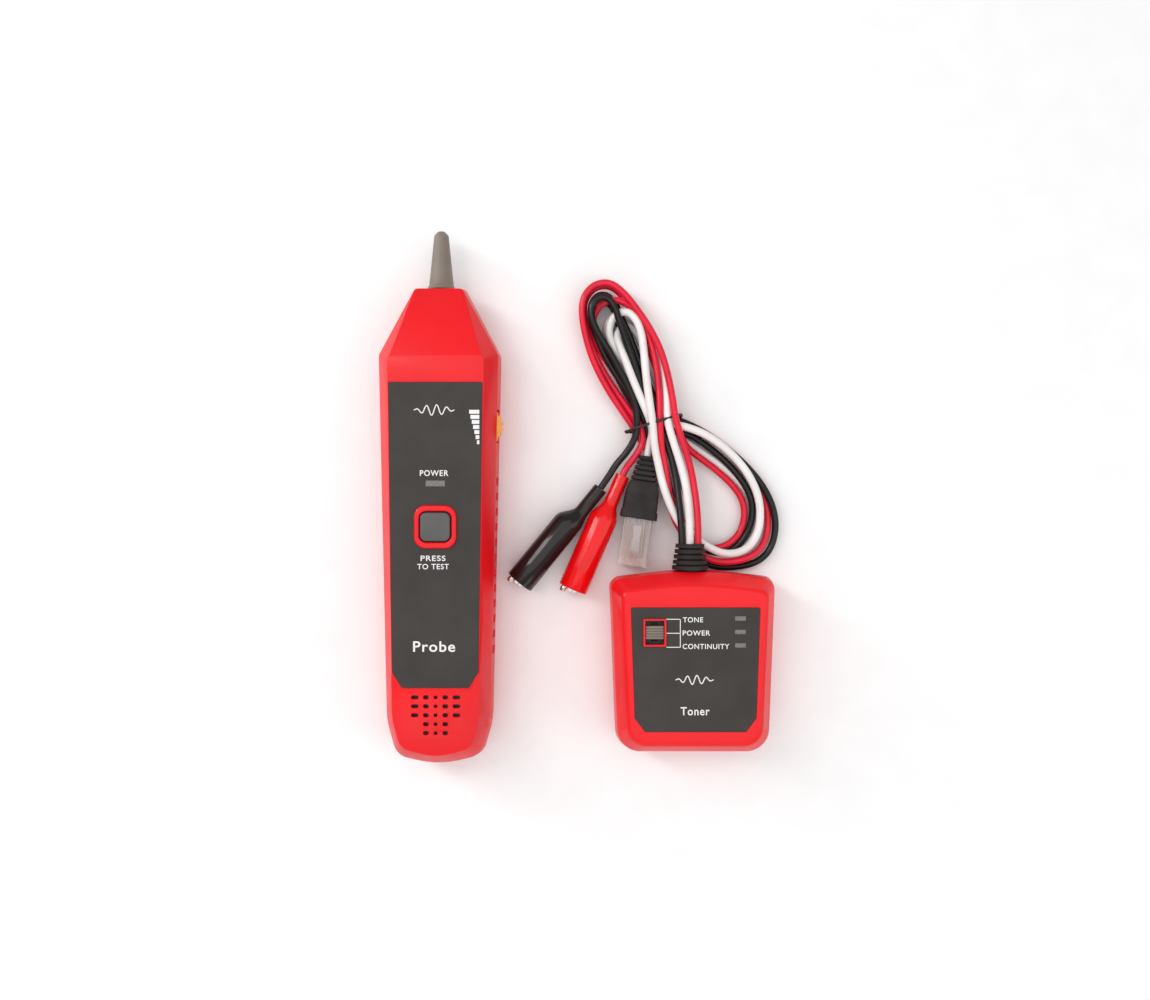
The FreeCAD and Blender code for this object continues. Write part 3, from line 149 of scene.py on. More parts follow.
# The three leads: stranded copper in soft PVC, 2.8 mm for red and black and 3.2 mm for the white data lead.
# Each leaves the gland, is folded into the hank (three turns above the tie, two below), and ends at its clip
# or plug.
# The numbers are points of each lead's own line, in millimetres, from the gland to the piece at its end.
THIN_LEAD = 0.0028
DATA_LEAD = 0.0032
red_route = [
    # out of the gland, up to the tie
    (48.62, -19.41, 14), (48.62, -13.41, 13.6), (48.32, -4.41, 12.4), (46.92, 6.59, 10.7),
    (44.8, 15.6, 11), (42, 23.6, 11.3),
    # first turn above the tie
    (39.6, 31.6, 11.6), (38.6, 39.6, 11.6), (36.6, 49.5, 11.1), (34.1, 58.3, 10.8), (30, 66.8, 10.7),
    (24.5, 75.1, 10.6), (18.9, 82.2, 10), (13.6, 86.3, 9.4), (7.6, 85.8, 9), (3.2, 81.6, 8.6),
    (1.9, 75.6, 8.3), (3, 67.1, 8), (5.9, 56.6, 7.4), (11, 46, 6.6), (17.4, 36.1, 5.6), (24.2, 26.7, 4.3),
    # first turn below the tie
    (27.6, 20.2, 2.9), (33.5, 13.1, 2.3), (36.1, 5.5, 3.3), (39.6, -2.9, 4.9), (43.7, -12, 7.1),
    (47.9, -21.6, 8.3), (53.8, -26.4, 7.8), (62, -27.4, 6.5), (70.3, -25.7, 5.2), (76, -21.5, 4),
    (78.8, -14.2, 3), (78.6, -5.2, 2.1), (75.5, 4, 1.6), (70.2, 10.6, 1.5), (62.4, 19, 1.5),
    (53.2, 25.6, 1.5), (45.6, 29.2, 1.5), (36.6, 30.7, 1.5),
    # second turn above
    (32.1, 36.3, 1.5), (24.5, 42.1, 1.5), (16.5, 49.3, 4.1), (10.5, 57.4, 4.3), (7, 64.9, 4.1),
    (6.1, 70.5, 4.3), (8.1, 76.3, 5.5), (12.9, 79.6, 7.4), (18.8, 79, 8), (23.5, 75.3, 7.8),
    (27.2, 69.7, 8), (30.1, 62.6, 8.4), (32.3, 52.6, 9), (33.5, 41.1, 9.7), (33.6, 29.8, 10.4),
    # second turn below
    (34.1, 20.2, 9.9), (35.7, 12.2, 8.9), (37.3, 3.1, 7.9), (38.5, -6.6, 6.7), (42.5, -14.8, 4.3),
    (48.7, -20.5, 3.4), (55.6, -22, 3.6), (62, -20.4, 3.2), (67, -15.9, 3), (69.2, -8.9, 2.9),
    (68.4, -1.9, 3.1), (63.6, 4.9, 3.5), (56.6, 10.9, 4.2), (49.8, 15.8, 5), (44, 20.2, 5.9),
    (39.9, 31.7, 6.2),
    # third turn above
    (36.8, 40.1, 6.3), (33.1, 49.8, 5.8), (29.9, 59.5, 5.9), (26.6, 68, 5.7), (22.5, 75.4, 5.2),
    (18.6, 82.2, 5), (13.4, 86, 5), (7.6, 85.2, 5.1), (3.6, 80.9, 5.2), (2.6, 75.2, 5.4), (4, 67.5, 5.4),
    (7.2, 57.4, 5.1), (12.8, 47.3, 4.7), (19.5, 37.6, 4.5), (24.5, 31.3, 5.3), (26.7, 26.3, 6.2),
    # on to the piece at its end
    (27, 21.2, 6.2), (24.6, 16.8, 6), (21.9, 13.4, 5.9), (19.9, 10.8, 6), (18.78, 8.08, 6),
]
white_route = [
    # out of the gland, up to the tie
    (45.32, -19.41, 14), (45.32, -13.41, 13.8), (44.92, -4.41, 12.6), (43.62, 6.59, 10.9),
    (41, 15.6, 10.8), (38.4, 23.6, 10.8),
    # first turn above the tie
    (36.5, 30.7, 10.5), (36.7, 39.5, 9.3), (35.7, 49.5, 7.9), (33.6, 58.1, 5.7), (29.9, 65.3, 3.6),
    (26.4, 69.8, 2.5), (22.6, 73.3, 2.5), (17.7, 74.1, 3.8), (13.3, 71.8, 4.1), (11.9, 67, 3.5),
    (14, 60.6, 3.2), (18, 54.2, 3.4), (22.7, 46, 4.3), (26.2, 36.7, 3.6), (28, 28.2, 1.9),
    # first turn below the tie
    (34.6, 21.5, 3.2), (38.8, 13.5, 5), (40.7, 3.9, 4.8), (43, -4.1, 4.2), (46.1, -12.9, 5),
    (49, -24.1, 5.6), (56.2, -26.6, 4.3), (64.5, -25.9, 3.4), (71.7, -20, 2.8), (75.3, -11.3, 2.2),
    (74, -2, 1.8), (66.6, 6.2, 1.8), (59, 12.8, 1.8), (50.8, 18, 1.8), (43.6, 22.8, 1.8),
    (33.5, 29.7, 2.1),
    # second turn above
    (29.8, 35.7, 3.9), (26.3, 43.5, 5.7), (21.5, 51.6, 6.7), (16.2, 58.3, 6.2), (13.2, 63.9, 6.5),
    (13.3, 69.6, 7.5), (16.2, 73.9, 8.6), (20.7, 74.5, 9.5), (24.1, 71.2, 9.9), (26.1, 66.1, 10),
    (27, 59.6, 10.2), (27.9, 49.4, 10.6), (29.1, 39.5, 11.3), (30.7, 28.8, 11.3),
    # second turn below
    (31.2, 20.8, 10.5), (33, 12.3, 10.1), (35, 3.4, 10), (38.4, -5.6, 10.1), (42.3, -12.5, 10.3),
    (48, -17.6, 10.3), (53.8, -21.3, 8.9), (60.3, -24, 7.7), (67.7, -23, 6.9), (72.9, -18.1, 6.5),
    (75.1, -10, 6.4), (74.3, -0.2, 6.5), (69.6, 9.6, 6.9), (61.9, 18.2, 7.4), (52.9, 24.7, 8.1),
    (45, 27.6, 8.8), (39.3, 28.7, 8.7), (36.1, 32.1, 6.7),
    # third turn above
    (35, 37.7, 5), (33.8, 43.3, 3.6), (32.3, 48.4, 3.2), (29.3, 57.2, 3.1), (26.2, 63, 3.1),
    (24.6, 67.2, 3.3), (21.4, 69.6, 3.6), (17.8, 68.7, 4.4), (16.5, 65.3, 6.5), (17.5, 60.6, 8.6),
    (19.5, 55.4, 9.6), (22.3, 47.8, 10.1), (25.8, 39.7, 9.8), (29, 32.5, 8.6), (30.7, 27.6, 7.8),
    (30.7, 24.4, 7.6),
    # on to the piece at its end
    (29.8, 21.4, 5.6), (29.3, 18.6, 5.6), (28.9, 15.9, 5.6),
]
black_route = [
    # out of the gland, up to the tie
    (42.12, -19.41, 14), (42.02, -13.41, 13.5), (41.42, -4.41, 12), (40.3, 6.59, 9.6), (38.4, 15.6, 8.8),
    (36, 23, 8),
    # first turn above the tie
    (33.7, 29.8, 7.5), (32.1, 38.1, 7.3), (28.8, 46.4, 7.1), (25.1, 55.4, 7), (21.8, 64.4, 7),
    (17.8, 73.1, 6.5), (16, 78.5, 5), (12.2, 82.2, 5), (8.2, 81.6, 5.8), (5.7, 77.6, 6.9),
    (5.8, 71.8, 7.4), (8.1, 64.8, 7.2), (11.8, 56.1, 7.1), (16.9, 47.9, 6.8), (22.5, 39.6, 6.3),
    (26.5, 33.2, 5.9), (28.5, 28.3, 5),
    # first turn below the tie
    (29.5, 21.7, 3.7), (33.7, 16.7, 3.8), (37.1, 11.7, 2.8), (39, 5.1, 2.2), (41.1, -3.2, 1.9),
    (44.2, -13.5, 1.5), (47.9, -25, 1.5), (55.8, -29.4, 1.7), (65.3, -29.6, 1.9), (73.8, -27.9, 2.2),
    (79.6, -22.9, 2.6), (82, -14.2, 3.1), (80.9, -5.2, 3.8), (76.5, 3.9, 4.3), (69.2, 12.6, 4.4),
    (61.2, 19.6, 4.4), (53.7, 25.2, 4.4), (46.2, 29.1, 4.5), (39.7, 31.7, 3.6),
    # second turn above
    (34.3, 37.6, 2.1), (28.2, 46, 1.7), (23.8, 55, 1.6), (19.9, 64.5, 1.5), (17.3, 70.3, 1.5),
    (16.1, 75.7, 1.5), (13.2, 79.8, 1.5), (8.9, 79.9, 1.5), (5.9, 76.2, 1.5), (6, 70.6, 1.5),
    (8.6, 64, 1.5), (15.2, 52.4, 1.5), (19.6, 43.4, 1.5), (24.6, 35.8, 1.5), (24.7, 27.1, 1.5),
    # second turn below
    (30.2, 20.7, 1.5), (36.1, 16.8, 1.5), (40, 11.7, 1.5), (41.7, 5.1, 1.5), (44, -3, 1.5),
    (46.5, -11.7, 1.5), (49.5, -22.3, 1.5), (56, -25, 1.5), (63.2, -23.3, 2.2), (68.9, -17.9, 3),
    (72.1, -10.1, 3.8), (71.9, -1.1, 4.5), (67.2, 7.2, 4.6), (60, 15, 4.3), (51.8, 21.6, 4),
    (44.6, 25.7, 3.9), (35.6, 27, 4.9), (31.3, 29.8, 5.3),
    # third turn above
    (29.9, 35.5, 6.8), (26.4, 44, 8.4), (23.6, 52.7, 9.2), (20.5, 61.4, 10.1), (17.4, 69.6, 11),
    (15.7, 75.4, 11.4), (12.8, 79.8, 10.9), (8.8, 80.2, 10.5), (5.9, 76.8, 10.2), (6, 71.2, 10.1),
    (8.9, 65, 10), (12.9, 59, 9.7), (16.6, 52.1, 9.5), (20.9, 44.3, 9.3), (24.1, 36.2, 8.9),
    (24.6, 27, 8.2),
    # on to the piece at its end
    (23.3, 22.2, 7.5), (20.2, 17.2, 6.7), (16.1, 12.7, 5.8), (12.9, 7.4, 6), (9.8, 2.98, 6),
]


def lead_material(name, dark, light, roughness, coat):
    """Soft PVC: a slightly uneven colour and a fine, half-glossy skin."""
    material, shader = plain_material(name, light, roughness, coat=coat, specular=0.3)
    drift = noise_on(material, 90.0)
    tint(material, drift, dark, light, shader.inputs["Base Color"])
    skin = noise_on(material, 900.0, detail=2.0)
    spread(material, skin, roughness - 0.06, roughness + 0.08, shader.inputs["Roughness"])
    relief(material, shader, skin, 0.00004, 0.25)
    return material


def lay_lead(name, route, thickness):
    """One lead as a smooth line through its points, with a round skin."""
    line = bpy.data.curves.new(name, "CURVE")
    line.dimensions = "3D"
    spline = line.splines.new("NURBS")
    spline.points.add(len(route) - 1)
    for point, (x, y, z) in zip(spline.points, route):
        point.co = (x / 1000, y / 1000, z / 1000, 1.0)
    spline.order_u = 3
    spline.use_endpoint_u = True
    spline.resolution_u = 8
    line.bevel_depth = thickness / 2
    line.bevel_resolution = 6
    line.use_fill_caps = True
    lead = bpy.data.objects.new(name, line)
    bpy.context.scene.collection.objects.link(lead)
    return lead


red_pvc = lead_material("red_lead_pvc", (0.66, 0.006, 0.03), (0.78, 0.010, 0.042), 0.36, 0.15)
white_pvc = lead_material("white_lead_pvc", (0.80, 0.76, 0.74), (0.88, 0.85, 0.84), 0.36, 0.15)
black_pvc = lead_material("black_lead_pvc", (0.005, 0.004, 0.004), (0.009, 0.008, 0.008), 0.34, 0.1)

red_lead = lay_lead("red_lead", red_route, THIN_LEAD)
white_lead = lay_lead("white_lead", white_route, DATA_LEAD)
black_lead = lay_lead("black_lead", black_route, THIN_LEAD)
for lead, skin, colour in (
    (red_lead, red_pvc, "red"), (white_lead, white_pvc, "white"), (black_lead, black_pvc, "black"),
):
    lead.data.materials.append(skin)
    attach(lead, "toner")
    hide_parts(f"{colour}_lead_root", f"{colour}_lead_end", "lead_hank")

# Hank tie: one turn of thin plastic-covered wire round all eighteen strands, its ends nipped into small eyes.
# It is a dull black, and grips the hank only by its twist.
# Its points lie along the wire, in millimetres: across the hank, and up from the hank's middle.
TIE_MIDDLE = (0.0321, 0.0293, 0.0059)
TIE_LEAN = math.radians(16.8)
TIE_WIRE_RADIUS = 0.00055
SIDE_STEP = 0.0004
tie_points = [
    (-11.0, 1.2), (-10.4, 2.6), (-9.4, 4.0), (-6.4, 5.5), (0.0, 5.9), (6.4, 5.6), (9.6, 4.6), (11.2, 2.4),
    (10.9, -0.6), (10.0, -3.6), (7.0, -4.9), (0.0, -5.1), (-7.0, -5.0), (-9.6, -4.0), (-10.6, -2.0),
    (-10.9, 0.0),
    (-11.9, 1.3), (-12.7, 0.2), (-11.8, -0.9), (-10.9, 0.6),
]
tie_line = bpy.data.curves.new("hank_tie_wire", "CURVE")
tie_line.dimensions = "3D"
tie_spline = tie_line.splines.new("NURBS")
tie_spline.points.add(len(tie_points) - 1)
for point, (along, rise) in zip(tie_spline.points, tie_points):
    drift = SIDE_STEP if rise > 0 else -SIDE_STEP
    point.co = (
        TIE_MIDDLE[0] + along / 1000 * math.cos(TIE_LEAN) - drift * math.sin(TIE_LEAN),
        TIE_MIDDLE[1] + along / 1000 * math.sin(TIE_LEAN) + drift * math.cos(TIE_LEAN),
        TIE_MIDDLE[2] + rise / 1000,
        1.0,
    )
tie_spline.order_u = 3
tie_spline.use_endpoint_u = True
tie_line.bevel_depth = TIE_WIRE_RADIUS
tie_line.bevel_resolution = 4
tie_line.use_fill_caps = True
tie_wire = bpy.data.objects.new("hank_tie_wire", tie_line)
bpy.context.scene.collection.objects.link(tie_wire)
dull_black, dull_black_shader = plain_material("dull_black_covering", (0.018, 0.017, 0.017), 0.5)
covering = noise_on(dull_black, 1400.0)
spread(dull_black, covering, 0.42, 0.6, dull_black_shader.inputs["Roughness"])
relief(dull_black, dull_black_shader, covering, 0.00003, 0.3)
bpy.ops.object.select_all(action="DESELECT")
tie_wire.select_set(True)
bpy.context.view_layer.objects.active = tie_wire
bpy.ops.object.convert(target="MESH")
tie_wire.data.materials.append(dull_black)
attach(tie_wire, "toner")
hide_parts("hank_tie")

# Crocodile clip boots: soft dipped PVC sleeves, a thin neck that grips the lead and a wide skirt over the jaws.
# They are glossy, square cut at the mouth, and slide back off the clip by hand.
# Each clip: its colour, where its neck starts (x and y in mm), its turn, and its neck's side step in mm.
CLIPS = (("red", 18.5, 8.2, -23.5, 0.3), ("black", 8.5, 3.9, -39.0, 1.6))
CLIP_HEIGHT = 0.006


def sleeve(name, outline, stations, place, turn):
    """A hollow or ringed sleeve: an outline drawn out along -Y, its size and shift set at each station."""
    bpy.ops.object.select_all(action="DESELECT")
    bpy.ops.mesh.primitive_circle_add(vertices=len(outline), radius=0.001, fill_type="NGON")
    piece = bpy.context.object
    piece.name = name
    wide, tall, shift, along = stations[0]
    for vertex, (across, up) in zip(piece.data.vertices, outline):
        vertex.co = (across * wide + shift, -along, up * tall)
    bpy.ops.object.mode_set(mode="EDIT")
    bpy.ops.mesh.select_all(action="SELECT")
    for next_wide, next_tall, next_shift, next_along in stations[1:]:
        bpy.ops.mesh.extrude_region_move(
            TRANSFORM_OT_translate={"value": (next_shift - shift, along - next_along, 0.0)}
        )
        bpy.ops.transform.resize(
            value=(next_wide / wide, 1.0, next_tall / tall), center_override=(next_shift, -next_along, 0.0)
        )
        wide, tall, shift, along = next_wide, next_tall, next_shift, next_along
    bpy.ops.mesh.select_all(action="SELECT")
    bpy.ops.mesh.normals_make_consistent(inside=False)
    bpy.ops.object.mode_set(mode="OBJECT")
    piece.rotation_euler = (0.0, 0.0, math.radians(turn))
    piece.location = place
    bpy.ops.object.transform_apply(location=True, rotation=True, scale=True)
    return piece


def soften_edges(piece, width, angle=35.0):
    """Rounds the piece's sharp edges and shades the rest smooth."""
    bpy.ops.object.select_all(action="DESELECT")
    piece.select_set(True)
    bpy.context.view_layer.objects.active = piece
    bevel = piece.modifiers.new("rounded_edges", "BEVEL")
    bevel.width = width
    bevel.segments = 3
    bevel.limit_method = "ANGLE"
    bevel.angle_limit = math.radians(angle)
    bpy.ops.object.modifier_apply(modifier=bevel.name)
    bpy.ops.object.shade_smooth_by_angle(angle=math.radians(38.0))


round_outline = [(math.cos(step * math.pi / 20), math.sin(step * math.pi / 20)) for step in range(40)]
clip_skins = {}
for colour, deep, bright in (
    ("red", (0.72, 0.002, 0.004), (0.86, 0.004, 0.006)),
    ("black", (0.010, 0.007, 0.007), (0.020, 0.012, 0.012)),
):
    skin, skin_shader = plain_material(f"{colour}_dipped_pvc", bright, 0.2, coat=0.2, specular=0.25)
    cloud = noise_on(skin, 70.0)
    tint(skin, cloud, deep, bright, skin_shader.inputs["Base Color"])
    ripple = noise_on(skin, 260.0, detail=2.0, stretch=(1.0, 0.35, 1.0))
    spread(skin, ripple, 0.12, 0.24, skin_shader.inputs["Roughness"])
    relief(skin, skin_shader, ripple, 0.00012, 0.22)
    clip_skins[colour] = skin
for colour, x, y, turn, neck in CLIPS:
    side = neck / 1000
    boot = sleeve(
        f"{colour}_clip_sleeve",
        round_outline,
        [
            (0.0014, 0.0014, side, 0.0030), (0.0015, 0.0015, side, 0.0), (0.0027, 0.0027, side, 0.0),
            (0.0029, 0.0029, side, 0.0002), (0.0029, 0.0029, side, 0.0070), (0.0029, 0.0029, side, 0.0122),
            (0.0031, 0.0031, side * 0.94, 0.0132), (0.0037, 0.0037, side * 0.75, 0.0146),
            (0.0047, 0.0047, side * 0.42, 0.0164), (0.0055, 0.0055, side * 0.15, 0.0182),
            (0.0058, 0.0058, 0.0, 0.0200), (0.00585, 0.00585, 0.0, 0.0300), (0.0059, 0.0059, 0.0, 0.0400),
            (0.0060, 0.0060, 0.0, 0.0502), (0.0059, 0.0059, 0.0, 0.0504), (0.0052, 0.0052, 0.0, 0.0504),
            (0.0051, 0.0051, 0.0, 0.0440), (0.0050, 0.0050, 0.0, 0.0300),
        ],
        (x / 1000, y / 1000, CLIP_HEIGHT),
        turn,
    )
    soften_edges(boot, 0.0002, 50.0)
    boot.data.materials.append(clip_skins[colour])
    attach(boot, "toner")
    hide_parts(f"{colour}_clip_boot")

# Clip jaws: pressed and plated steel with a folded nose that shows at the mouth of the boot.
# The pin and the coil of its spring hold the two jaws together inside.
plated, plated_shader = plain_material("nickel_plated_steel", (0.62, 0.58, 0.52), 0.25, metallic=1.0)
rub = noise_on(plated, 500.0, stretch=(1.0, 0.2, 1.0))
spread(plated, rub, 0.16, 0.36, plated_shader.inputs["Roughness"])
stain = noise_on(plated, 120.0)
tint(plated, stain, (0.48, 0.42, 0.36), (0.70, 0.67, 0.62), plated_shader.inputs["Base Color"])


def finish_node(node, material):
    """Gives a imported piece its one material."""
    nodes[node].data.materials.clear()
    nodes[node].data.materials.append(material)


for colour, x, y, turn, _ in CLIPS:
    for node in ("fixed_jaw", "jaw", "pin", "spring"):
        finish_node(f"{colour}_clip_{node}", plated)
    nose = sleeve(
        f"{colour}_clip_nose",
        round_outline[::2],
        [
            (0.0006, 0.0006, -0.0012, 0.0440), (0.0011, 0.0011, -0.0022, 0.0470),
            (0.0012, 0.0012, -0.0030, 0.0500), (0.0014, 0.0014, -0.0034, 0.0509),
            (0.0014, 0.0014, -0.0036, 0.0521), (0.0010, 0.0010, -0.0037, 0.0529),
            (0.0004, 0.0004, -0.0037, 0.0531),
        ],
        (x / 1000, y / 1000, CLIP_HEIGHT),
        turn,
    )
    soften_edges(nose, 0.0001, 60.0)
    nose.data.materials.append(plated)
    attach(nose, "toner")

# Data plug: a clear eight-way modular plug, gilt contacts and cores showing through, in a ribbed black boot.
# The boot is a soft moulding pushed over the back of the plug; its ribs let the lead bend.
PLUG_PLACE = (0.0289, 0.0159, 0.0056)
PLUG_TURN = -8.5
CORNER_ROUND = 0.32
CORNER_CENTRE = 0.68
square_outline = []
for side_x, side_z, start in ((1, 1, 0), (-1, 1, 90), (-1, -1, 180), (1, -1, 270)):
    for step in range(6):
        bend = math.radians(start + step * 18)
        corner_x = side_x * CORNER_CENTRE + CORNER_ROUND * math.cos(bend)
        corner_z = side_z * CORNER_CENTRE + CORNER_ROUND * math.sin(bend)
        square_outline.append((corner_x, corner_z))
RIB_PITCH = 0.0021
rib_stations = [(0.0016, 0.0016, 0.0, 0.0030), (0.0017, 0.0017, 0.0, 0.0)]
for rib in range(5):
    start = rib * RIB_PITCH
    half_wide = 0.0034 + rib * 0.00045
    edge_tall, half_tall = 0.0033 + rib * 0.0002, 0.0034 + rib * 0.0002
    rib_stations += [
        (half_wide - 0.0002, edge_tall, 0.0, start), (half_wide, half_tall, 0.0, start + 0.0003),
        (half_wide, half_tall, 0.0, start + 0.0011), (half_wide - 0.0002, edge_tall, 0.0, start + 0.0014),
        (half_wide - 0.0011, 0.0026, 0.0, start + 0.0014), (half_wide - 0.0010, 0.0027, 0.0, start + 0.0020),
    ]
rib_stations += [
    (0.0052, 0.0044, 0.0, 0.0104), (0.0057, 0.0047, 0.0, 0.0110), (0.0066, 0.0052, 0.0, 0.0150),
    (0.0069, 0.0053, 0.0, 0.0200), (0.0069, 0.0053, 0.0, 0.0222), (0.0073, 0.0054, 0.0, 0.0228),
    (0.0074, 0.0054, 0.0, 0.0253), (0.0073, 0.0053, 0.0, 0.0256), (0.0060, 0.0036, 0.0, 0.0256),
    (0.0059, 0.0035, 0.0, 0.0226),
]
plug_boot = sleeve("plug_ribbed_boot", square_outline, rib_stations, PLUG_PLACE, PLUG_TURN)
soften_edges(plug_boot, 0.00015, 40.0)
boot_rubber, boot_rubber_shader = plain_material("boot_rubber", (0.012, 0.009, 0.009), 0.55, specular=0.15)
boot_grain = noise_on(boot_rubber, 1500.0)
spread(boot_rubber, boot_grain, 0.45, 0.65, boot_rubber_shader.inputs["Roughness"])
relief(boot_rubber, boot_rubber_shader, boot_grain, 0.00005, 0.35)
boot_cloud = noise_on(boot_rubber, 100.0)
boot_base = boot_rubber_shader.inputs["Base Color"]
tint(boot_rubber, boot_cloud, (0.022, 0.018, 0.018), (0.040, 0.034, 0.032), boot_base)
plug_boot.data.materials.append(boot_rubber)
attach(plug_boot, "toner")
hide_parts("plug_boot")

clear, clear_shader = plain_material("clear_polycarbonate", (0.97, 0.90, 0.88), 0.1, coat=0.3)
clear_shader.inputs["Transmission Weight"].default_value = 0.82
clear_shader.inputs["IOR"].default_value = 1.45
flow = noise_on(clear, 300.0, stretch=(1.0, 0.3, 1.0))
spread(clear, flow, 0.06, 0.22, clear_shader.inputs["Roughness"])
haze = noise_on(clear, 160.0)
tint(clear, haze, (0.92, 0.82, 0.80), (0.99, 0.94, 0.93), clear_shader.inputs["Base Color"])
finish_node("plug_body", clear)
finish_node("plug_latch", clear)
gilt, gilt_shader = plain_material("gilt_contacts", (0.80, 0.58, 0.24), 0.25, metallic=1.0)
gilt_wear = noise_on(gilt, 900.0)
spread(gilt, gilt_wear, 0.18, 0.4, gilt_shader.inputs["Roughness"])
finish_node("plug_contacts", gilt)

# The plug's eight cores, each its own colour; the colour changes across the plug, one core every 1.1 mm.
CORE_BAND = 0.0044
cores, cores_shader = plain_material("core_colours", (0.7, 0.6, 0.58), 0.45)
core_tree = cores.node_tree
core_place = core_tree.nodes.new("ShaderNodeTexCoord")
core_map = core_tree.nodes.new("ShaderNodeMapping")
core_map.vector_type = "TEXTURE"
core_map.inputs["Location"].default_value = PLUG_PLACE
core_map.inputs["Rotation"].default_value = (0.0, 0.0, math.radians(PLUG_TURN))
core_split = core_tree.nodes.new("ShaderNodeSeparateXYZ")
core_range = core_tree.nodes.new("ShaderNodeMapRange")
core_range.inputs["From Min"].default_value = -CORE_BAND
core_range.inputs["From Max"].default_value = CORE_BAND
core_ramp = core_tree.nodes.new("ShaderNodeValToRGB")
core_ramp.color_ramp.interpolation = "CONSTANT"
core_shades = [
    (0.62, 0.42, 0.36), (0.66, 0.28, 0.14), (0.62, 0.60, 0.56), (0.20, 0.26, 0.48),
    (0.50, 0.54, 0.66), (0.24, 0.42, 0.24), (0.60, 0.50, 0.44), (0.30, 0.16, 0.10),
]
core_ramp.color_ramp.elements[0].color = (*core_shades[0], 1.0)
core_ramp.color_ramp.elements[1].position = 1 / len(core_shades)
core_ramp.color_ramp.elements[1].color = (*core_shades[1], 1.0)
for index, shade in enumerate(core_shades[2:], start=2):
    core_ramp.color_ramp.elements.new(index / len(core_shades)).color = (*shade, 1.0)
core_tree.links.new(core_place.outputs["Object"], core_map.inputs["Vector"])
core_tree.links.new(core_map.outputs["Vector"], core_split.inputs["Vector"])
core_tree.links.new(core_split.outputs["X"], core_range.inputs["Value"])
core_tree.links.new(core_range.outputs["Result"], core_ramp.inputs["Fac"])
core_tree.links.new(core_ramp.outputs["Color"], cores_shader.inputs["Base Color"])
finish_node("plug_cores", cores)

# Cable gland: a black rubber grommet gripped in the toner's top wall, ribbed so that the leads can bend.
finish_node("cable_gland", boot_rubber)

# Housings: each is a front and a back shell in red ABS, moulded with a fine satin grain, screwed together from
# the back. The battery doors are cut from the same plastic. Edges are broken by a small radius from the mould.
red_abs, red_abs_shader = plain_material("red_abs", (0.86, 0.004, 0.009), 0.38, coat=0.05, specular=0.32)
red_drift = noise_on(red_abs, 22.0, detail=4.0)
tint(red_abs, red_drift, (0.74, 0.003, 0.008), (0.86, 0.005, 0.010), red_abs_shader.inputs["Base Color"])
red_grain = noise_on(red_abs, 2600.0, detail=2.0)
spread(red_abs, red_grain, 0.32, 0.46, red_abs_shader.inputs["Roughness"])
relief(red_abs, red_abs_shader, red_grain, 0.00004, 0.28)


SHELL_EDGE = 0.0005


def moulded_copy(node, name, edge):
    """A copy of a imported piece, joined up from its loose triangles, its edges broken by the mould's radius."""
    piece = nodes[node].copy()
    piece.data = nodes[node].data.copy()
    piece.name = name
    piece.parent = None
    for key in list(piece.keys()):
        del piece[key]
    bpy.context.scene.collection.objects.link(piece)
    bpy.ops.object.select_all(action="DESELECT")
    piece.select_set(True)
    bpy.context.view_layer.objects.active = piece
    bpy.ops.object.mode_set(mode="EDIT")
    bpy.ops.mesh.select_all(action="SELECT")
    bpy.ops.mesh.remove_doubles(threshold=0.000002)
    bpy.ops.mesh.dissolve_limited(angle_limit=math.radians(0.6))
    bpy.ops.object.mode_set(mode="OBJECT")
    piece.data.materials.clear()
    soften_edges(piece, edge, 18.0)
    return piece


for node, body in (
    ("probe_front_shell", "probe"), ("probe_back_shell", "probe"),
    ("probe_battery_door", "probe_battery_door"), ("toner_front_shell", "toner"),
    ("toner_back_shell", "toner"), ("toner_battery_door", "toner_battery_door"),
):
    shell = moulded_copy(node, f"{node}_moulding", SHELL_EDGE)
    shell.data.materials.append(red_abs)
    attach(shell, body)
    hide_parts(node)

# Front panels: dark printed polycarbonate overlays, matt, stuck into a shallow recess of each housing.
# The printing is off-white: plain working words, a volume wedge and the switch's guide lines.
overlay, overlay_shader = plain_material("dark_overlay", (0.044, 0.037, 0.034), 0.6, specular=0.25)
overlay_drift = noise_on(overlay, 60.0, detail=5.0)
tint(overlay, overlay_drift, (0.042, 0.036, 0.033), (0.052, 0.045, 0.042), overlay_shader.inputs["Base Color"])
overlay_grain = noise_on(overlay, 3200.0, detail=2.0)
spread(overlay, overlay_grain, 0.48, 0.66, overlay_shader.inputs["Roughness"])
relief(overlay, overlay_shader, overlay_grain, 0.00003, 0.3)
finish_node("probe_label", overlay)
finish_node("toner_label", overlay)

ink, ink_shader = plain_material("white_ink", (0.86, 0.85, 0.84), 0.55)
ink_coat = noise_on(ink, 1800.0)
tint(ink, ink_coat, (0.78, 0.77, 0.76), (0.88, 0.87, 0.86), ink_shader.inputs["Base Color"])
PROBE_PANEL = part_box("probe_label")[1].z
TONER_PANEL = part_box("toner_label")[1].z


LETTER_WEIGHT = 0.013
LETTER_SPACING = 1.12
PRINT_THICKNESS = 0.00006


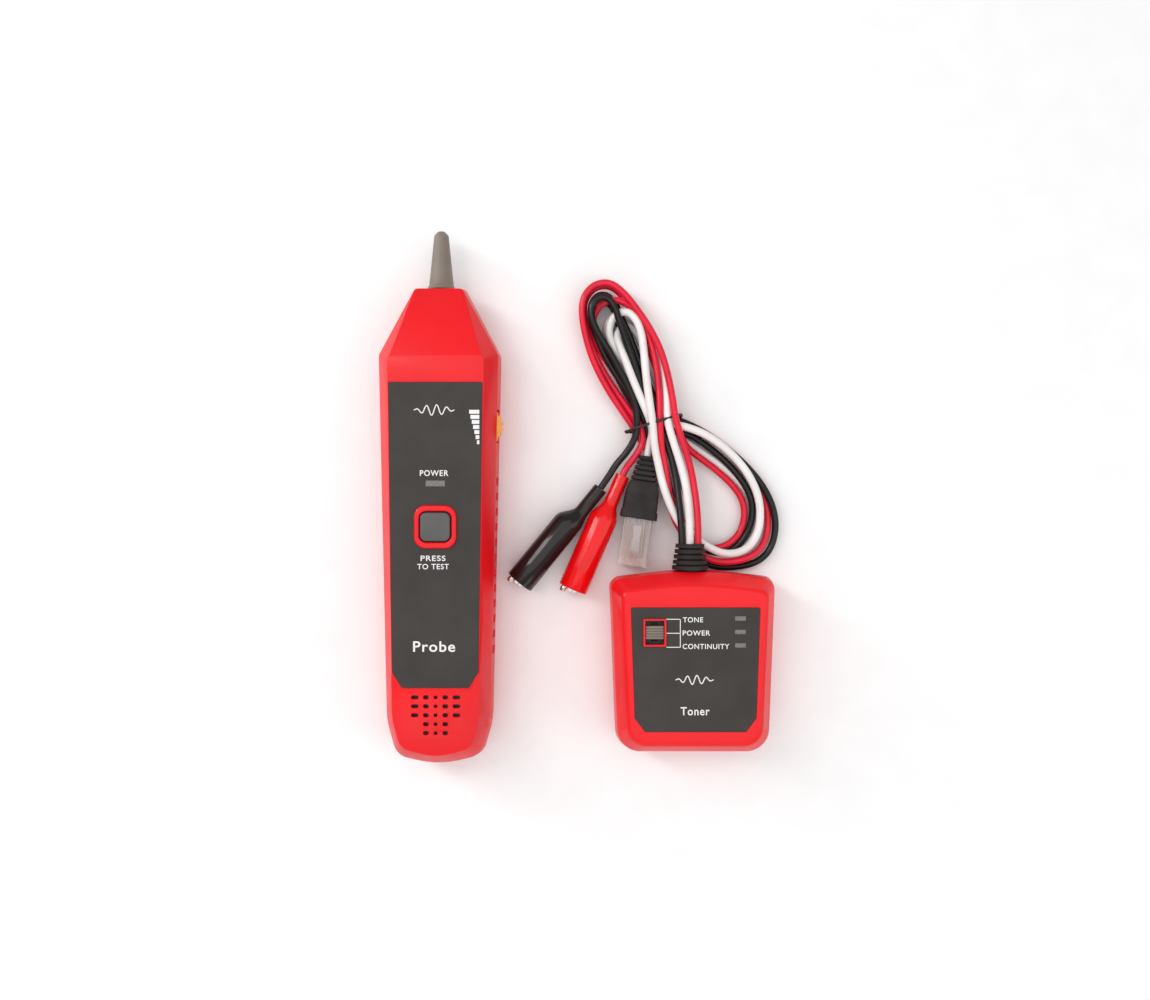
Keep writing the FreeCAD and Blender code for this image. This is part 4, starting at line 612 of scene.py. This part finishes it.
def printed_words(name, words, x, y, wide, tall, height, body):
    """Printed words, x and y in millimetres at their middle, and as wide and tall as given."""
    bpy.ops.object.select_all(action="DESELECT")
    bpy.ops.object.text_add(location=(0.0, 0.0, 0.0))
    text = bpy.context.object
    text.name = name
    text.data.body = words
    text.data.align_x = "CENTER"
    text.data.align_y = "CENTER"
    text.data.offset = LETTER_WEIGHT
    text.data.space_character = LETTER_SPACING
    text.data.extrude = 0.01
    text.data.resolution_u = 4
    bpy.ops.object.convert(target="MESH")
    corners = [vertex.co for vertex in text.data.vertices]
    low = [min(corner[axis] for corner in corners) for axis in range(3)]
    high = [max(corner[axis] for corner in corners) for axis in range(3)]
    printed_size = (wide / 1000, tall / 1000, PRINT_THICKNESS)
    span = [printed_size[axis] / (high[axis] - low[axis]) for axis in range(3)]
    middle = (x / 1000, y / 1000, height)
    for vertex in text.data.vertices:
        vertex.co = [
            middle[axis] + (vertex.co[axis] - (low[axis] + high[axis]) / 2) * span[axis] for axis in range(3)
        ]
    text.data.materials.append(ink)
    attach(text, body)


BAR_THICKNESS = 0.00005


def printed_bar(name, x, y, wide, tall, height, body):
    """A printed bar, x and y in millimetres at its middle."""
    bpy.ops.object.select_all(action="DESELECT")
    bpy.ops.mesh.primitive_plane_add(size=1.0)
    bar = bpy.context.object
    bar.name = name
    bar.scale = (wide / 1000, tall / 1000, 1.0)
    bar.location = (x / 1000, y / 1000, height)
    bpy.ops.object.transform_apply(location=True, rotation=True, scale=True)
    bpy.ops.object.mode_set(mode="EDIT")
    bpy.ops.mesh.select_all(action="SELECT")
    bpy.ops.mesh.extrude_region_move(TRANSFORM_OT_translate={"value": (0.0, 0.0, BAR_THICKNESS)})
    bpy.ops.mesh.select_all(action="SELECT")
    bpy.ops.mesh.normals_make_consistent(inside=False)
    bpy.ops.object.mode_set(mode="OBJECT")
    bar.data.materials.append(ink)
    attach(bar, body)


printed_words("probe_power_word", "POWER", -54.9, 8.5, 11.0, 2.3, PROBE_PANEL, "probe")
printed_words("probe_press_word", "PRESS", -55.3, -24.3, 9.6, 2.1, PROBE_PANEL, "probe")
printed_words("probe_to_test_word", "TO TEST", -55.3, -27.5, 12.2, 2.1, PROBE_PANEL, "probe")
printed_words("probe_name_word", "Probe", -54.9, -58.3, 16.2, 4.1, PROBE_PANEL, "probe")
printed_words("toner_name_word", "Toner", 45.7, -83.4, 11.2, 3.2, TONER_PANEL, "toner")
printed_words("toner_tone_word", "TONE", 44.9, -48.1, 7.8, 2.0, TONER_PANEL, "toner")
printed_words("toner_power_word", "POWER", 46.2, -53.2, 10.6, 2.0, TONER_PANEL, "toner")
printed_words("toner_continuity_word", "CONTINUITY", 49.9, -58.4, 18.0, 2.0, TONER_PANEL, "toner")

for index in range(7):
    bar_wide = 3.9 - index * 0.5
    printed_bar(
        f"volume_wedge_bar_{index + 1}", -37.5 - bar_wide / 2, 32.1 - index * 1.95, bar_wide, 1.5,
        PROBE_PANEL, "probe",
    )
for name, x, y, wide, tall in (
    ("guide_line_top", 37.3, -47.9, 5.4, 0.3), ("guide_line_middle", 37.3, -53.3, 5.4, 0.3),
    ("guide_line_bottom", 37.3, -58.7, 5.4, 0.3), ("guide_line_upright", 40.0, -53.3, 0.3, 11.1),
):
    printed_bar(f"switch_{name}", x, y, wide, tall, TONER_PANEL, "toner")


TRACE_POINTS = 33
TRACE_WAVES = 4
TRACE_RADIUS = 0.00022
TRACE_FLATTENING = 0.15


def tone_trace(name, x, y, wide, tall, height, body):
    """A white trace of a tone that swells and dies away, x and y in millimetres at its middle."""
    trace = bpy.data.curves.new(name, "CURVE")
    trace.dimensions = "3D"
    run = trace.splines.new("NURBS")
    run.points.add(TRACE_POINTS - 1)
    for step, point in enumerate(run.points):
        share = step / (TRACE_POINTS - 1)
        swell = math.sin(share * math.pi)
        wave = math.sin(share * math.tau * TRACE_WAVES) * swell
        point.co = ((x + (share - 0.5) * wide) / 1000, (y + wave * tall / 2) / 1000, height, 1.0)
    run.order_u = 3
    run.use_endpoint_u = True
    trace.bevel_depth = TRACE_RADIUS
    trace.bevel_resolution = 2
    trace.use_fill_caps = True
    line = bpy.data.objects.new(name, trace)
    bpy.context.scene.collection.objects.link(line)
    bpy.ops.object.select_all(action="DESELECT")
    line.select_set(True)
    bpy.context.view_layer.objects.active = line
    bpy.ops.object.convert(target="MESH")
    for vertex in line.data.vertices:
        vertex.co.z = height + (vertex.co.z - height) * TRACE_FLATTENING
    line.data.materials.append(ink)
    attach(line, body)


tone_trace("probe_tone_trace", -54.9, 32.8, 15.6, 4.4, PROBE_PANEL, "probe")
tone_trace("toner_tone_trace", 45.5, -71.3, 14.6, 3.8, TONER_PANEL, "toner")

# Windows and lamps: smoked light pipes pressed in from behind, over small lamps on the boards.
smoked, smoked_shader = plain_material("smoked_window", (0.17, 0.155, 0.15), 0.3)
window_lines = noise_on(smoked, 900.0, stretch=(1.0, 3.0, 1.0))
tint(smoked, window_lines, (0.13, 0.12, 0.115), (0.20, 0.19, 0.18), smoked_shader.inputs["Base Color"])
spread(smoked, window_lines, 0.22, 0.42, smoked_shader.inputs["Roughness"])
finish_node("probe_led_window", smoked)
finish_node("toner_led_windows", smoked)
lamp, lamp_shader = plain_material("tinted_lamp", (0.7, 0.06, 0.03), 0.15, coat=0.4)
lamp_shade = noise_on(lamp, 700.0)
tint(lamp, lamp_shade, (0.6, 0.04, 0.02), (0.8, 0.09, 0.04), lamp_shader.inputs["Base Color"])
finish_node("probe_led", lamp)
finish_node("toner_leds", lamp)

# Grey mouldings: the probe's tip, the press button and the switch knob, in a warm grey matt plastic.
warm_grey, warm_grey_shader = plain_material("warm_grey_plastic", (0.215, 0.175, 0.145), 0.5)
grey_drift = noise_on(warm_grey, 70.0, detail=4.0)
tint(warm_grey, grey_drift, (0.195, 0.160, 0.130), (0.235, 0.195, 0.160), warm_grey_shader.inputs["Base Color"])
grey_grain = noise_on(warm_grey, 1700.0)
spread(warm_grey, grey_grain, 0.42, 0.6, warm_grey_shader.inputs["Roughness"])
relief(warm_grey, warm_grey_shader, grey_grain, 0.00006, 0.4)
button_grey, button_grey_shader = plain_material("button_grey_rubber", (0.088, 0.082, 0.080), 0.5)
button_drift = noise_on(button_grey, 120.0)
button_base = button_grey_shader.inputs["Base Color"]
tint(button_grey, button_drift, (0.080, 0.074, 0.072), (0.096, 0.090, 0.088), button_base)
button_grain = noise_on(button_grey, 2200.0)
spread(button_grey, button_grain, 0.42, 0.58, button_grey_shader.inputs["Roughness"])
relief(button_grey, button_grey_shader, button_grain, 0.00004, 0.35)
for node, body, material, edge in (
    ("probe_tip", "probe", warm_grey, 0.0004), ("test_button", "test_button", button_grey, 0.0007),
    ("mode_switch_knob", "mode_switch_knob", warm_grey, 0.0003),
):
    piece = moulded_copy(node, f"{node}_moulding", edge)
    piece.data.materials.append(material)
    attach(piece, body)
    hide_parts(node)

# Volume wheel: orange plastic, its rim cut with fine teeth for the thumb, on a small potentiometer's spindle.
orange, orange_shader = plain_material("orange_plastic", (0.86, 0.36, 0.05), 0.45)
orange_drift = noise_on(orange, 200.0)
tint(orange, orange_drift, (0.80, 0.32, 0.04), (0.90, 0.42, 0.08), orange_shader.inputs["Base Color"])
orange_grain = noise_on(orange, 2000.0)
spread(orange, orange_grain, 0.38, 0.55, orange_shader.inputs["Roughness"])
relief(orange, orange_shader, orange_grain, 0.00004, 0.3)
finish_node("volume_wheel", orange)

# Inside pieces: boards, switches, battery blocks with their snaps, speaker, antenna and case screws.
board_mask, board_mask_shader = plain_material("green_solder_mask", (0.02, 0.17, 0.06), 0.35, coat=0.3)
tracks = noise_on(board_mask, 260.0, detail=1.0, stretch=(1.0, 3.0, 1.0))
tint(board_mask, tracks, (0.015, 0.13, 0.045), (0.04, 0.24, 0.09), board_mask_shader.inputs["Base Color"])
black_nylon, black_nylon_shader = plain_material("black_nylon", (0.018, 0.018, 0.018), 0.5)
nylon_grain = noise_on(black_nylon, 1500.0)
spread(black_nylon, nylon_grain, 0.42, 0.6, black_nylon_shader.inputs["Roughness"])
relief(black_nylon, black_nylon_shader, nylon_grain, 0.00004, 0.3)
jacket, jacket_shader = plain_material("printed_battery_jacket", (0.12, 0.12, 0.14), 0.3, metallic=0.6)
jacket_bands = noise_on(jacket, 40.0, stretch=(0.1, 3.0, 0.1))
tint(jacket, jacket_bands, (0.05, 0.05, 0.06), (0.40, 0.32, 0.16), jacket_shader.inputs["Base Color"])
for node, material in (
    ("probe_circuit_board", board_mask), ("toner_circuit_board", board_mask), ("test_switch", black_nylon),
    ("slide_switch_body", black_nylon), ("volume_pot", black_nylon), ("speaker", black_nylon),
    ("probe_battery_snap", black_nylon), ("toner_battery_snap", black_nylon), ("probe_battery", jacket),
    ("toner_battery", jacket), ("probe_case_screws", plated), ("toner_case_screws", plated),
    ("tip_antenna", plated),
):
    finish_node(node, material)
